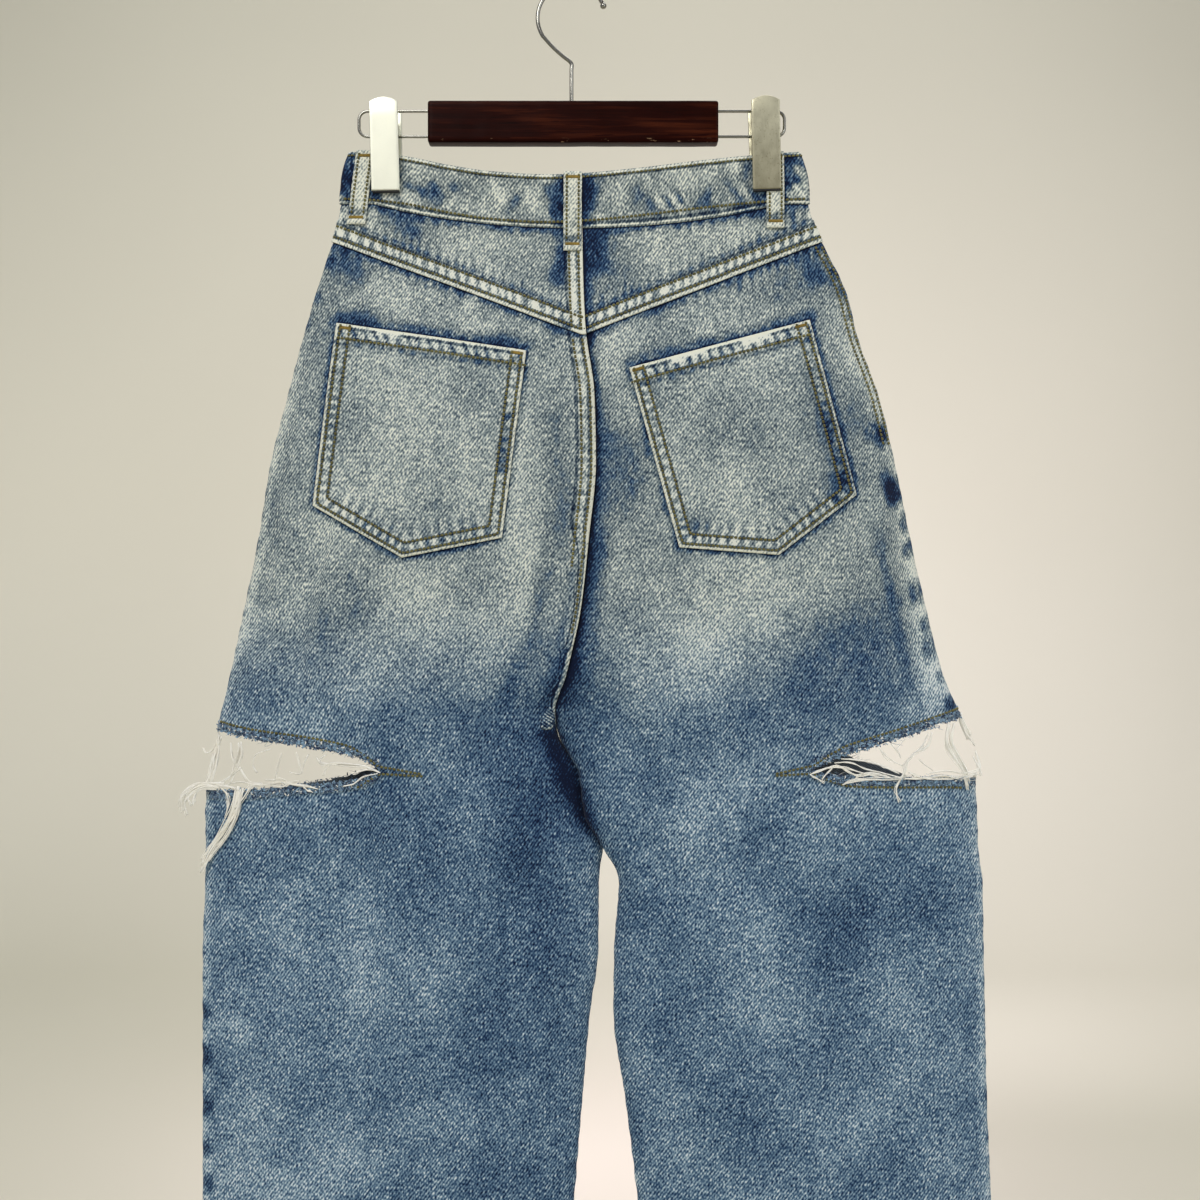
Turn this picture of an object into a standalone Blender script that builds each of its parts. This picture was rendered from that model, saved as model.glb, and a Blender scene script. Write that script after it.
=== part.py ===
"""Ripped jeans held by a clip hanger: the construction solids.

Tables and sizes are in millimetres and are turned into metres as each mesh is made. +Z is up, the back of
the jeans faces -Y and the wearer's right side is +X. The origin is the hang point, at the inside of the top
of the hook.
"""
from collections import namedtuple
from math import acos, cos, pi, radians, sin, sqrt

import bmesh
import bpy
from mathutils import Vector

MM = 0.001
SEAM = 0.3              # gap between two pieces that are sewn together
CLOTH = 1.4             # one layer of denim
ROUNDNESS = 2.5         # power of the super-ellipse that every cross-section follows

# ---------------------------------------------------------------- the cut of the jeans

# One row for each level: where the folds of the legs lie, and how far back and front stand off the middle.
Section = namedtuple("Section", "height left_out left_in right_in right_out back front")
SECTIONS = [
    Section(-124, -165, 6, 6, 171, 18, 16),
    Section(-145, -171, 7, 7, 177, 18, 16),
    Section(-168, -172.5, 8, 8, 179, 18, 16),
    Section(-192, -178, 9, 9, 188, 19, 17),
    Section(-230, -190, 10, 10, 206, 20, 18),
    Section(-265, -200, 12, 12, 215, 22, 19),
    Section(-310, -212, 18, 18, 231, 25, 21),
    Section(-360, -224.5, 19, 19, 243, 27, 22),
    Section(-414, -233, 14, 14, 254, 28, 23),
    Section(-467, -244, 8, 8, 266, 28, 23),
    Section(-515, -254, -3, -3, 278, 27, 22),
    Section(-545, -261, -12, -12, 290, 26, 21),
    Section(-562, -264, -9, -9, 294, 25, 21),
    Section(-590, -270, 6, 6, 302, 24, 21),
    Section(-620, -273, 10, 10, 304, 24, 20),
    Section(-647, -272.5, 24.2, 25.2, 305, 23, 20),
    Section(-670, -273, 21.5, 36, 308, 22, 20),
    Section(-723, -275, 21, 32.5, 309, 21, 19),
    Section(-768, -275, 15, 32, 310, 20, 18),
    Section(-835, -275, 9, 41, 311.5, 19, 18),
    Section(-910, -275, 3, 50, 314.5, 18, 18),
    Section(-1060, -273, -6, 62, 317, 19, 19),
    Section(-1205, -270, -14, 74, 318, 22, 22),
]
HEM = -1205
FORK = -562             # the crotch: below it each leg is a tube of its own
FORK_START = -490       # where the seat starts to turn under towards the crotch

WAIST_MIDDLE = 4.5      # halfway between the two clips
CLIP_REACH = 143.5      # from there to each clip
WAIST_PINCHED = 3.1     # half the thickness of the waist between the jaws of a clip
WAIST_BOW = {"back": 7.5, "front": 10.0}        # how far the waist bows open between the clips
WAIST_LIP = 1.2         # and how far its sides open again outside them
WAIST_FLAT = -168       # the waist keeps its pressed shape down to here
HIP_OPEN = -285         # and the hips have their full depth from here

WAIST_SIDE = -125       # the waistband's top edge at the sides
WAIST_SAG = {"back": 20, "front": 27}           # how far it dips at the centre
SAG_REACH = 152
BAND_WIDTH = 39
BAND_OUT = 0.8          # the waistband is double cloth: how far it stands off the panels, and into them
BAND_IN = 1.8
YOKE_SIDE = -192.5
YOKE_CENTRE = -265.5

# The cut across the thighs, from the outseam to its inner end: its upper edge, and its gape under that.
# Past that end the cloth is whole, and the two parts of each panel meet on one line, as far as the inseam.
Slit = namedtuple("Slit", "across upper gape")
INSEAM_END = Slit(6, -588.7, 0.6)
BACK_SLITS = {
    "L": [Slit(-272, -555, 48), Slit(-232, -563, 37.5), Slit(-196, -567.5, 29.5), Slit(-174, -571.5, 24),
          Slit(-153, -576.5, 16), Slit(-138, -585.2, 1.2), INSEAM_END],
    "R": [Slit(304, -544, 50), Slit(278, -551, 41), Slit(236, -564, 27.5), Slit(200, -574, 18),
          Slit(172, -582, 8), Slit(150, -586.2, 1.2), INSEAM_END],
}
FRONT_SLITS = {
    "L": [Slit(-272, -555, 47), Slit(-232, -562, 35), Slit(-196, -570, 20), Slit(-168, -577.5, 1.2),
          INSEAM_END],
    "R": [Slit(304, -544, 49), Slit(270, -551, 38), Slit(232, -562, 22), Slit(198, -571.5, 1.2),
          INSEAM_END],
}
SLIT_TIP = {"back": 0.5, "front": 0.45}         # how far round the half-leg the slit reaches

# Corners of the back pockets, as (across, height): top outer, top inner, bottom inner, tip, bottom outer.
BACK_POCKETS = {
    "L": [(-173, -255.5), (-32, -277.5), (-49.5, -415), (-123, -429.5), (-189.5, -391)],
    "R": [(177, -253.5), (43.5, -290.5), (80, -422), (153, -427.5), (211, -383)],
}
SCOOP_TURN = 0.75       # how far round each front half the pocket mouth starts
SCOOP_DEPTH = 72
FACING_BELOW = 14       # the facing runs on behind the pocket mouth
FACING_GAP = 0.8
FACING_START = 0.03     # it stops this far round from the outseam

Loop = namedtuple("Loop", "name face top bottom drop")
BELT_LOOPS = [
    Loop("belt_loop_centre", "back", 2.0, 1.6, 18),
    Loop("belt_loop_back_L", "back", -153, -160, 16),
    Loop("belt_loop_back_R", "back", 155, 155, 18),
    Loop("belt_loop_front_L", "front", -82, -84, 16),
    Loop("belt_loop_front_R", "front", 98, 100, 16),
]
LOOP_WIDTH = 13.4
LOOP_CLOTH = 1.6
LOOP_SEAT = 1.6         # how far a loop's ends and its middle stand off the panels
LOOP_SLACK = 2.1
LOOP_FOOT = 0.9
LOOP_TACK = 8           # how far the flat end under the tack reaches
LOOP_EASE = 6           # and how far the strap takes to rise from it

FLY_LENGTH = 112
FLY_STEP = 2.3          # from one layer of the fly to the next
ZIP_HALF_WIDTH = 13
SHIELD_REACH = (-36.4, 6.5)     # the shield's sides, from the centre seam
BUTTON_RADIUS = 8.5
BUTTON_HEIGHT = 3.5
BUTTON_FROM_CENTRE = 13

# ---------------------------------------------------------------- the hanger

WIRE = 1.5              # radius of the hook's wire
HOOK_RADIUS = 25.5
HOOK_CENTRE = (0.8, -24.0)
HOOK_SHOULDER = (-19.0, -43.0)
HOOK_KINK = (0.4, -57.8)
HOOK_TIP_ANGLE = 27     # the bow starts here and runs over the top to its shoulder
HOOK_BOW_END = 215
HOOK_TIP_RADIUS = 2.4

BAR_ENDS = (-106.5, 110.5)
BAR_TOP = -87.8
BAR_FOOT = -119.0
BAR_THICK = 14.0
BAR_BEVEL = 2.2

ROD = 1.2               # radius of the sliding rods' wire
ROD_HEIGHTS = (-94.0, -113.0)
ROD_REACH = {"L": -158.6, "R": 160.4}

Clip = namedtuple("Clip", "across foot turn pad_from pad_to")
CLIPS = {
    "L": Clip(-138.8, -155.5, 2.0, -6.0, 8.0),
    "R": Clip(148.0, -153.0, 1.6, -9.5, -1.2),
}
PLATE_HALF_WIDTH = 10.6
PLATE_HEIGHT = 68.0
PLATE_CROWN = 2.6
PLATE_THICK = 1.8
PLATE_FOOT_OUT = 7.2    # how far the plate's inner face is from the middle, at its foot and at its top
PLATE_HEAD_OUT = 12.5
LUG_OUTER = 8.2         # the lugs that reach in to the spring, measured from the plate's middle
LUG_INNER = 6.4
LUG_FROM, LUG_TO = 46.0, 54.0
LUG_END = 0.4
PAD_FROM, PAD_TO = 1.5, 20.0
PAD_INNER = 5.0
SPRING_RADIUS = 3.6

# ---------------------------------------------------------------- sums


def mix(a, b, share):
    return a + (b - a) * share


def ramp(value, start, end):
    """0 at start, 1 at end, smooth at both."""
    share = min(1.0, max(0.0, (value - start) / (end - start)))
    return share * share * (3 - 2 * share)


def flowing(knots, values, at):
    """A smooth curve through values, which never swings past them."""
    order = range(len(knots) - 1)
    if knots[0] > knots[-1]:
        knots = [-k for k in knots]
        at = -at
    at = min(max(at, knots[0]), knots[-1])
    slopes = [(values[i + 1] - values[i]) / (knots[i + 1] - knots[i]) for i in order]
    tangents = [slopes[0]]
    for before, after in zip(slopes, slopes[1:]):
        level = before * after <= 0
        tangents.append(0.0 if level else 2 * before * after / (before + after))
    tangents.append(slopes[-1])
    i = max(k for k in order if knots[k] <= at)
    span = knots[i + 1] - knots[i]
    t = (at - knots[i]) / span
    rise = (1 + 2 * t) * (1 - t) ** 2 * values[i] + t * t * (3 - 2 * t) * values[i + 1]
    return rise + span * (t * (1 - t) ** 2 * tangents[i] - t * t * (1 - t) * tangents[i + 1])


HEIGHTS = [row.height for row in SECTIONS]
COLUMNS = {name: [getattr(row, name) for row in SECTIONS] for name in Section._fields}


def level_at(height, column):
    return flowing(HEIGHTS, COLUMNS[column], height)


def slit_edges(rows):
    """The upper and the lower edge of a slit, as curves over the place across."""
    knots = [row.across for row in rows]
    uppers = [row.upper for row in rows]
    gapes = [row.gape for row in rows]

    def upper(across):
        return flowing(knots, uppers, across)

    def lower(across):
        return upper(across) - flowing(knots, gapes, across)
    return upper, lower


def rounded(value):
    """Turn a cosine or sine of a circle into that of the super-ellipse."""
    size = abs(value) ** (2 / ROUNDNESS)
    return size if value >= 0 else -size


# ---------------------------------------------------------------- where the cloth lies


def outer_inner(half, height):
    if half == "L":
        return level_at(height, "left_out"), level_at(height, "left_in") - SEAM / 2
    return level_at(height, "right_out"), level_at(height, "right_in") + SEAM / 2


def last_angle(height):
    """A quarter turn where the half ends at the centre seam, half a turn where it ends at the inseam."""
    return pi / 2 * (1 + ramp(height, FORK_START, FORK))


def waist_depth(face, across):
    reach = abs(across - WAIST_MIDDLE) / CLIP_REACH
    bow = WAIST_BOW[face] * max(0.0, 1 - reach * reach) ** 1.5
    return WAIST_PINCHED + bow + WAIST_LIP * ramp(reach, 1.05, 1.2)


def bare_point(half, face, turn, height):
    """A point of the outer face of a panel. turn is 0 at the outseam and 1 at the centre or the inseam."""
    outer, inner = outer_inner(half, height)
    end = last_angle(height)
    angle = turn * end
    share = (1 - rounded(cos(angle))) / (1 - rounded(cos(end)))
    across = mix(outer, inner, share)
    full = level_at(height, face) * rounded(sin(angle))
    pressed = waist_depth(face, across) * sqrt(abs(sin(angle)))
    depth = SEAM / 2 + mix(pressed, full, ramp(height, WAIST_FLAT, HIP_OPEN))
    return Vector((across, -depth if face == "back" else depth, height))


def cloth_point(half, face, turn, height, lift=0.0):
    """The same point moved out of the cloth by lift."""
    point = bare_point(half, face, turn, height)
    step = 0.01 if turn < 0.5 else -0.01
    across = (bare_point(half, face, turn + step, height) - point) / step
    down = bare_point(half, face, turn, height - 1) - bare_point(half, face, turn, height + 1)
    normal = across.cross(down).normalized()
    outward = Vector((point.x - mix(*outer_inner(half, height), 0.5), point.y, 0))
    if normal.dot(outward) < 0:
        normal = -normal
    return point + normal * lift


def turn_of(half, across, height):
    """How far round a half an across position lies."""
    outer, inner = outer_inner(half, height)
    end = last_angle(height)
    share = (across - outer) / (inner - outer)
    flat = 1 - share * (1 - rounded(cos(end)))
    cosine = abs(flat) ** (ROUNDNESS / 2) * (1 if flat >= 0 else -1)
    return acos(min(1.0, max(-1.0, cosine))) / end


def on_face(face, across, height, lift):
    """A point above the cloth, by its place across and its height."""
    half = "L" if across < level_at(height, "left_in") else "R"
    return cloth_point(half, face, turn_of(half, across, height), height, lift)


def settle(half, face, turn, edge):
    """The height at which a column of the cloth meets an edge curve."""
    height = edge(0.0)
    for _ in range(4):
        height = edge(bare_point(half, face, turn, height).x)
    return height


def waist_top(face):
    def edge(across):
        reach = (across - WAIST_MIDDLE) / SAG_REACH
        return WAIST_SIDE - WAIST_SAG[face] * max(0.0, 1 - reach * reach)
    return edge


def waist_foot(face, gap=0.0):
    top = waist_top(face)

    def edge(across):
        return top(across) - BAND_WIDTH - gap
    return edge


def yoke_seam(half, gap):
    outer, inner = outer_inner(half, YOKE_SIDE)

    def edge(across):
        share = min(1.0, max(0.0, (across - outer) / (inner - outer)))
        return mix(YOKE_SIDE, YOKE_CENTRE, share) - gap
    return edge


def level(height):
    def edge(across):
        return height
    return edge


# ---------------------------------------------------------------- making meshes


def finish(name, bm, colour, roughness=0.9, metallic=0.0, smooth=False):
    """Turn a bmesh in millimetres into a named object in metres with its own material."""
    bm.normal_update()
    bmesh.ops.recalc_face_normals(bm, faces=bm.faces)
    bmesh.ops.scale(bm, vec=(MM, MM, MM), verts=bm.verts)
    mesh = bpy.data.meshes.new(name)
    bm.to_mesh(mesh)
    bm.free()
    if smooth:
        mesh.shade_smooth()
    obj = bpy.data.objects.new(name, mesh)
    bpy.context.scene.collection.objects.link(obj)
    paint(obj, colour, roughness, metallic)
    return obj


def paint(obj, colour, roughness, metallic):
    material = bpy.data.materials.new(obj.name)
    material.use_nodes = True
    shader = material.node_tree.nodes["Principled BSDF"]
    shader.inputs["Base Color"].default_value = (*colour, 1)
    shader.inputs["Roughness"].default_value = roughness
    shader.inputs["Metallic"].default_value = metallic
    obj.data.materials.append(material)


def wall(outer, inner):
    """A closed wall between two grids of points, with a rim round its edges."""
    bm = bmesh.new()
    front = [[bm.verts.new(point) for point in row] for row in outer]
    back = [[bm.verts.new(point) for point in row] for row in inner]
    rows, columns = len(outer), len(outer[0])
    for r in range(rows - 1):
        for c in range(columns - 1):
            ring = [(r, c), (r, c + 1), (r + 1, c + 1), (r + 1, c)]
            bm.faces.new([front[i][j] for i, j in ring])
            bm.faces.new([back[i][j] for i, j in reversed(ring)])
    rim = [(0, c) for c in range(columns)]
    rim += [(r, columns - 1) for r in range(1, rows)]
    rim += [(rows - 1, c) for c in reversed(range(columns - 1))]
    rim += [(r, 0) for r in reversed(range(1, rows - 1))]
    for (i, j), (k, m) in zip(rim, rim[1:] + rim[:1]):
        bm.faces.new([front[k][m], front[i][j], back[i][j], back[k][m]])
    return bm


DENIM = (0.30, 0.38, 0.45)
DENIM_WORN = (0.40, 0.46, 0.50)
DENIM_DARK = (0.18, 0.25, 0.34)
COTTON_TAPE = (0.10, 0.14, 0.20)
BRASS = (0.55, 0.42, 0.22)
VARNISHED_WOOD = (0.035, 0.010, 0.005)
NICKEL = (0.62, 0.61, 0.57)
BLACK_VINYL = (0.03, 0.03, 0.03)

# ---------------------------------------------------------------- the sewn pieces


def flush(across, height):
    return 0.0


def panel(name, half, face, bands, turns, colour, sink=flush):
    """Cloth between edge curves. bands holds (edge, shares), with the shares of the way to the next edge."""
    rows = []
    for (edge, shares), (next_edge, _) in zip(bands, bands[1:] + [(bands[-1][0], ())]):
        for share in shares:
            rows.append([mix(settle(half, face, turn, edge), settle(half, face, turn, next_edge), share)
                         for turn in turns])
    faces = ([], [])
    for row in rows:
        for side, below in zip(faces, (0, CLOTH)):
            side.append([cloth_point(half, face, turn, height,
                                     -below - sink(bare_point(half, face, turn, height).x, height))
                         for turn, height in zip(turns, row)])
    return finish(name, wall(*faces), colour, smooth=True)


def steps(count, start=0.0, end=1.0):
    return [mix(start, end, i / count) for i in range(count + 1)]


SEAT_LINE = -465
SEAT_SHARES = (0, 0.2, 0.4, 0.6, 0.8)
CROTCH_SHARES = (0, 0.22, 0.38, 0.52, 0.64, 0.73, 0.8, 0.9)
KNEE_LINE = -700
THIGH_SHARES = (0, 0.25, 0.5, 0.75)
SHIN_SHARES = (0, 0.17, 0.34, 0.5, 0.67, 0.83)
COLUMNS_TO_TIP = 4
YOKE_TURNS = steps(10)


def leg_turns(face):
    tip = SLIT_TIP[face]
    return steps(COLUMNS_TO_TIP, 0, tip) + steps(COLUMNS_TO_TIP, tip, 1)[1:]


def leg_panels(half, face, top, slits):
    """One side of a leg: the part above the line of the slit and the part below it."""
    over, under = slit_edges(slits[half])
    upper = [(top, SEAT_SHARES), (level(SEAT_LINE), CROTCH_SHARES), (over, (0,))]
    lower = [(under, THIGH_SHARES), (level(KNEE_LINE), SHIN_SHARES), (level(HEM), (0,))]
    for part, bands in (("upper", upper), ("lower", lower)):
        panel(f"{face}_{part}_{half}", half, face, bands, leg_turns(face), DENIM)


def scoop_edge(half, below=0.0, gap=SEAM):
    """The front's top edge: the mouth of the pocket near the side, and the waistband's foot past it."""
    band = waist_foot("front", gap)
    outer = outer_inner(half, WAIST_FLAT)[0]
    mouth = bare_point(half, "front", SCOOP_TURN, WAIST_FLAT).x

    def edge(across):
        share = min(1.0, max(0.0, (across - outer) / (mouth - outer)))
        return band(across) - SCOOP_DEPTH * sqrt(1 - share * share) - below
    return edge


def build_legs():
    for half in "LR":
        leg_panels(half, "back", yoke_seam(half, SEAM), BACK_SLITS)
        leg_panels(half, "front", scoop_edge(half), FRONT_SLITS)


def build_yokes():
    for half in "LR":
        bands = [(waist_foot("back", SEAM), (0, 0.33, 0.67)), (yoke_seam(half, 0.0), (0,))]
        panel(f"yoke_{half}", half, "back", bands, YOKE_TURNS, DENIM_WORN)


def build_pocket_facings():
    """Level with the front above the pocket's mouth, and sunk behind it from just above its edge."""
    turns = [FACING_START] + leg_turns("front")[1:-1]
    for half in "LR":
        mouth = scoop_edge(half)

        def sink(across, height, mouth=mouth):
            return (CLOTH + FACING_GAP) * ramp(height - mouth(across), FACING_BELOW, 2)

        foot = scoop_edge(half, FACING_BELOW)
        bands = [(waist_foot("front", SEAM), (0, 0.33, 0.67)), (mouth, (0,)), (foot, (0,))]
        panel(f"front_pocket_facing_{half}", half, "front", bands, turns, DENIM_DARK, sink=sink)


def build_waistband():
    """Each half is a strip from the back seam, round the side, to the front."""
    for half in "LR":
        way = [("back", turn) for turn in reversed(YOKE_TURNS)]
        way += [("front", turn) for turn in leg_turns("front")[1:]]
        outer, inner = [], []
        for share in steps(2):
            rows = ([], [])
            for face, turn in way:
                top = settle(half, face, turn, waist_top(face))
                height = mix(top, settle(half, face, turn, waist_foot(face)), share)
                for row, lift in zip(rows, (BAND_OUT, -BAND_IN)):
                    point = cloth_point(half, face, turn, height, lift)
                    if turn == 0:
                        point.y = 0
                    row.append(point)
            outer.append(rows[0])
            inner.append(rows[1])
        finish(f"waistband_{half}", wall(outer, inner), DENIM_WORN, smooth=True)


def patch(name, face, grid, lift, thick, colour):
    """A flat piece laid on the cloth. grid holds rows of (across, height); lift may vary from row to row."""
    lifts = lift if isinstance(lift, list) else [lift] * len(grid)
    outer = [[on_face(face, *place, low + thick) for place in row] for row, low in zip(grid, lifts)]
    inner = [[on_face(face, *place, low) for place in row] for row, low in zip(grid, lifts)]
    return finish(name, wall(outer, inner), colour, smooth=True)


def along(points, shares):
    """Points of a bent line, by their share of its stretches."""
    found = []
    for share in shares:
        place = share * (len(points) - 1)
        i = min(int(place), len(points) - 2)
        found.append(tuple(mix(a, b, place - i) for a, b in zip(points[i], points[i + 1])))
    return found


def build_back_pockets():
    for half, (top_out, top_in, foot_in, tip, foot_out) in BACK_POCKETS.items():
        shares = steps(8)
        top = along([top_out, top_in], shares)
        foot = along([foot_out, tip, foot_in], shares)
        grid = []
        for down in steps(8):
            grid.append([tuple(mix(a, b, down) for a, b in zip(*ends)) for ends in zip(top, foot)])
        patch(f"back_pocket_{half}", "back", grid, SEAM, CLOTH, DENIM_WORN)


def build_belt_loops():
    """Straps sewn on at the waistband's top edge and just below it on the panels, loose in between."""
    for loop in BELT_LOOPS:
        top = waist_top(loop.face)(loop.top) - 0.5
        foot = waist_foot(loop.face)(loop.bottom)
        profile = [(top, LOOP_SEAT), (top - LOOP_TACK, LOOP_SEAT), (top - LOOP_TACK - LOOP_EASE, LOOP_SLACK),
                   (foot + LOOP_EASE, LOOP_SLACK), (foot - 2, LOOP_SEAT), (foot - LOOP_EASE, LOOP_FOOT),
                   (foot - loop.drop, LOOP_FOOT)]
        grid = []
        for height, _ in profile:
            share = (top - height) / (top - foot + loop.drop)
            middle = mix(loop.top, loop.bottom, share)
            grid.append([(middle + side * LOOP_WIDTH / 2, height) for side in (-1, 0, 1)])
        patch(loop.name, loop.face, grid, [lift for _, lift in profile], LOOP_CLOTH, DENIM_WORN)


def build_fly():
    """The closed zip and the shield behind it, both inside the front, and the button that shuts the waist."""
    foot = waist_foot("front")(WAIST_MIDDLE) - SEAM
    heights = steps(3, foot, foot - FLY_LENGTH)
    middle = level_at(foot, "left_in")
    for name, left, right, layers in (("fly_zip", -ZIP_HALF_WIDTH, ZIP_HALF_WIDTH, 1),
                                      ("fly_shield", *SHIELD_REACH, 2)):
        grid = [[(middle + across, height) for across in steps(4, left, right)] for height in heights]
        patch(name, "front", grid, -layers * FLY_STEP - CLOTH, CLOTH, COTTON_TAPE)
    height = foot + BAND_WIDTH / 2
    seat = on_face("front", middle - BUTTON_FROM_CENTRE, height, BAND_OUT + SEAM)
    bm = bmesh.new()
    bmesh.ops.create_cone(bm, cap_ends=True, segments=24, radius1=BUTTON_RADIUS, radius2=BUTTON_RADIUS - 1,
                          depth=BUTTON_HEIGHT)
    normal = (on_face("front", middle - BUTTON_FROM_CENTRE, height, 10) - seat).normalized()
    bmesh.ops.rotate(bm, verts=bm.verts, matrix=normal.to_track_quat("Z", "Y").to_matrix())
    bmesh.ops.translate(bm, verts=bm.verts, vec=seat + normal * (BUTTON_HEIGHT / 2 + SEAM))
    finish("waist_button", bm, BRASS, 0.35, 1.0)


# ---------------------------------------------------------------- the hanger's pieces


def wire(name, route, radius, colour):
    """A bent wire along a route in the XZ plane, with closed ends."""
    curve = bpy.data.curves.new(name, "CURVE")
    curve.dimensions = "3D"
    curve.bevel_depth = radius * MM
    curve.bevel_resolution = 2
    curve.use_fill_caps = True
    spline = curve.splines.new("POLY")
    spline.points.add(len(route) - 1)
    for point, (across, height) in zip(spline.points, route):
        point.co = (across * MM, 0, height * MM, 1)
    obj = bpy.data.objects.new(name, curve)
    bpy.context.scene.collection.objects.link(obj)
    paint(obj, colour, 0.3, 1.0)
    return obj


def arc(centre, radius, start, end, count):
    """Points round a circle in the XZ plane, with angles in degrees from +X towards +Z."""
    return [(centre[0] + radius * cos(radians(a)), centre[1] + radius * sin(radians(a)))
            for a in steps(count, start, end)]


def build_hook():
    bow = arc(HOOK_CENTRE, HOOK_RADIUS, HOOK_TIP_ANGLE, HOOK_BOW_END, 20)
    stem = HOOK_KINK[0] + 0.3
    tail = [HOOK_SHOULDER, HOOK_KINK, (stem, mix(HOOK_KINK[1], BAR_TOP, 0.15)), (stem, BAR_TOP + SEAM)]
    wire("hook", bow + tail, WIRE, NICKEL)
    tip = radians(HOOK_TIP_ANGLE) - (HOOK_TIP_RADIUS + SEAM) / HOOK_RADIUS
    place = (HOOK_CENTRE[0] + HOOK_RADIUS * cos(tip), 0, HOOK_CENTRE[1] + HOOK_RADIUS * sin(tip))
    bm = bmesh.new()
    bmesh.ops.create_uvsphere(bm, u_segments=12, v_segments=8, radius=HOOK_TIP_RADIUS)
    bmesh.ops.translate(bm, verts=bm.verts, vec=place)
    finish("hook_tip", bm, NICKEL, 0.3, 1.0, smooth=True)


def build_bar():
    bm = bmesh.new()
    bmesh.ops.create_cube(bm, size=1)
    length = BAR_ENDS[1] - BAR_ENDS[0]
    bmesh.ops.scale(bm, vec=(length, BAR_THICK, BAR_TOP - BAR_FOOT), verts=bm.verts)
    bmesh.ops.translate(bm, vec=(sum(BAR_ENDS) / 2, 0, (BAR_TOP + BAR_FOOT) / 2), verts=bm.verts)
    bmesh.ops.bevel(bm, geom=bm.edges[:], offset=BAR_BEVEL, segments=2, profile=0.5, affect="EDGES")
    finish("hanger_bar", bm, VARNISHED_WOOD, 0.3)


def build_rods():
    """On each side one wire leaves the bar, turns round and comes back."""
    radius = (ROD_HEIGHTS[0] - ROD_HEIGHTS[1]) / 2
    middle = sum(ROD_HEIGHTS) / 2
    for half, bar_end, outward in (("L", BAR_ENDS[0], -1), ("R", BAR_ENDS[1], 1)):
        start = bar_end + outward * SEAM
        centre = (ROD_REACH[half] - outward * radius, middle)
        bend = arc(centre, radius, 90, 90 - outward * 180, 10)
        route = [(start, ROD_HEIGHTS[0])] + bend + [(start, ROD_HEIGHTS[1])]
        wire(f"hanger_rod_{half}", route, ROD, NICKEL)


def build_clips():
    for half, clip in CLIPS.items():
        for face, sign in (("front", -1), ("rear", 1)):
            clip_plate(f"clip_plate_{face}_{half}", clip, sign)
            clip_pad(f"clip_pad_{face}_{half}", clip, sign)
        clip_spring(f"clip_spring_{half}", clip)


def turned(bm, clip):
    """Tilt a clip's piece about its middle, as the clip hangs, and bring it to its place."""
    lean = radians(clip.turn)
    for vert in bm.verts:
        x, z = vert.co.x, vert.co.z - PLATE_HEIGHT / 2
        vert.co.x = x * cos(lean) - z * sin(lean) + clip.across
        vert.co.z = x * sin(lean) + z * cos(lean) + PLATE_HEIGHT / 2 + clip.foot
    return bm


def plate_out(rise):
    return mix(PLATE_FOOT_OUT, PLATE_HEAD_OUT, rise / PLATE_HEIGHT)


def clip_plate(name, clip, sign):
    """A pressed plate with a crowned head and two lugs that reach in to the spring."""
    columns = (-PLATE_HALF_WIDTH, -LUG_OUTER, -LUG_INNER, 0, LUG_INNER, LUG_OUTER, PLATE_HALF_WIDTH)
    rises = (0, LUG_FROM, LUG_TO, PLATE_HEIGHT - PLATE_CROWN)
    grids = []
    for out in (PLATE_THICK, 0):
        grid = []
        for rise in rises:
            crown = PLATE_CROWN if rise == rises[-1] else 0
            grid.append([Vector((x, sign * (plate_out(rise) + out),
                                 rise + crown * (1 - (x / PLATE_HALF_WIDTH) ** 2))) for x in columns])
        grids.append(grid)
    bm = wall(*grids)
    bm.normal_update()
    bmesh.ops.recalc_face_normals(bm, faces=bm.faces)
    for face in [f for f in bm.faces if is_lug_root(f, sign)]:
        grown = bmesh.ops.extrude_discrete_faces(bm, faces=[face])["faces"][0]
        for vert in grown.verts:
            vert.co.y = sign * LUG_END
    finish(name, turned(bm, clip), NICKEL, 0.3, 1.0)


def is_lug_root(face, sign):
    centre = face.calc_center_median()
    in_reach = LUG_INNER < abs(centre.x) < LUG_OUTER and LUG_FROM < centre.z < LUG_TO
    return in_reach and face.normal.y * sign < -0.5


def clip_pad(name, clip, sign):
    """The soft lip that presses on the waistband."""
    bm = bmesh.new()
    bmesh.ops.create_cube(bm, size=1)
    for vert in bm.verts:
        rise = PAD_TO if vert.co.z > 0 else PAD_FROM
        out = plate_out(rise) - SEAM if vert.co.y > 0 else PAD_INNER
        vert.co = (clip.pad_to if vert.co.x > 0 else clip.pad_from, sign * out, rise)
    finish(name, turned(bm, clip), BLACK_VINYL, 0.6)


def clip_spring(name, clip):
    bm = bmesh.new()
    length = 2 * (LUG_INNER - SEAM)
    bmesh.ops.create_cone(bm, cap_ends=True, segments=16, radius1=SPRING_RADIUS, radius2=SPRING_RADIUS,
                          depth=length)
    for vert in bm.verts:
        vert.co = (vert.co.z, vert.co.y, vert.co.x + (LUG_FROM + LUG_TO) / 2)
    finish(name, turned(bm, clip), NICKEL, 0.35, 1.0)


for leftover in list(bpy.data.objects):
    bpy.data.objects.remove(leftover)

build_legs()
build_yokes()
build_pocket_facings()
build_waistband()
build_back_pockets()
build_belt_loops()
build_fly()
build_hook()
build_bar()
build_rods()
build_clips()
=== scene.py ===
from collections import namedtuple
from math import cos, pi, radians, sin

import bpy
import numpy as np
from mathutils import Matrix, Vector
from mathutils.bvhtree import BVHTree


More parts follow.
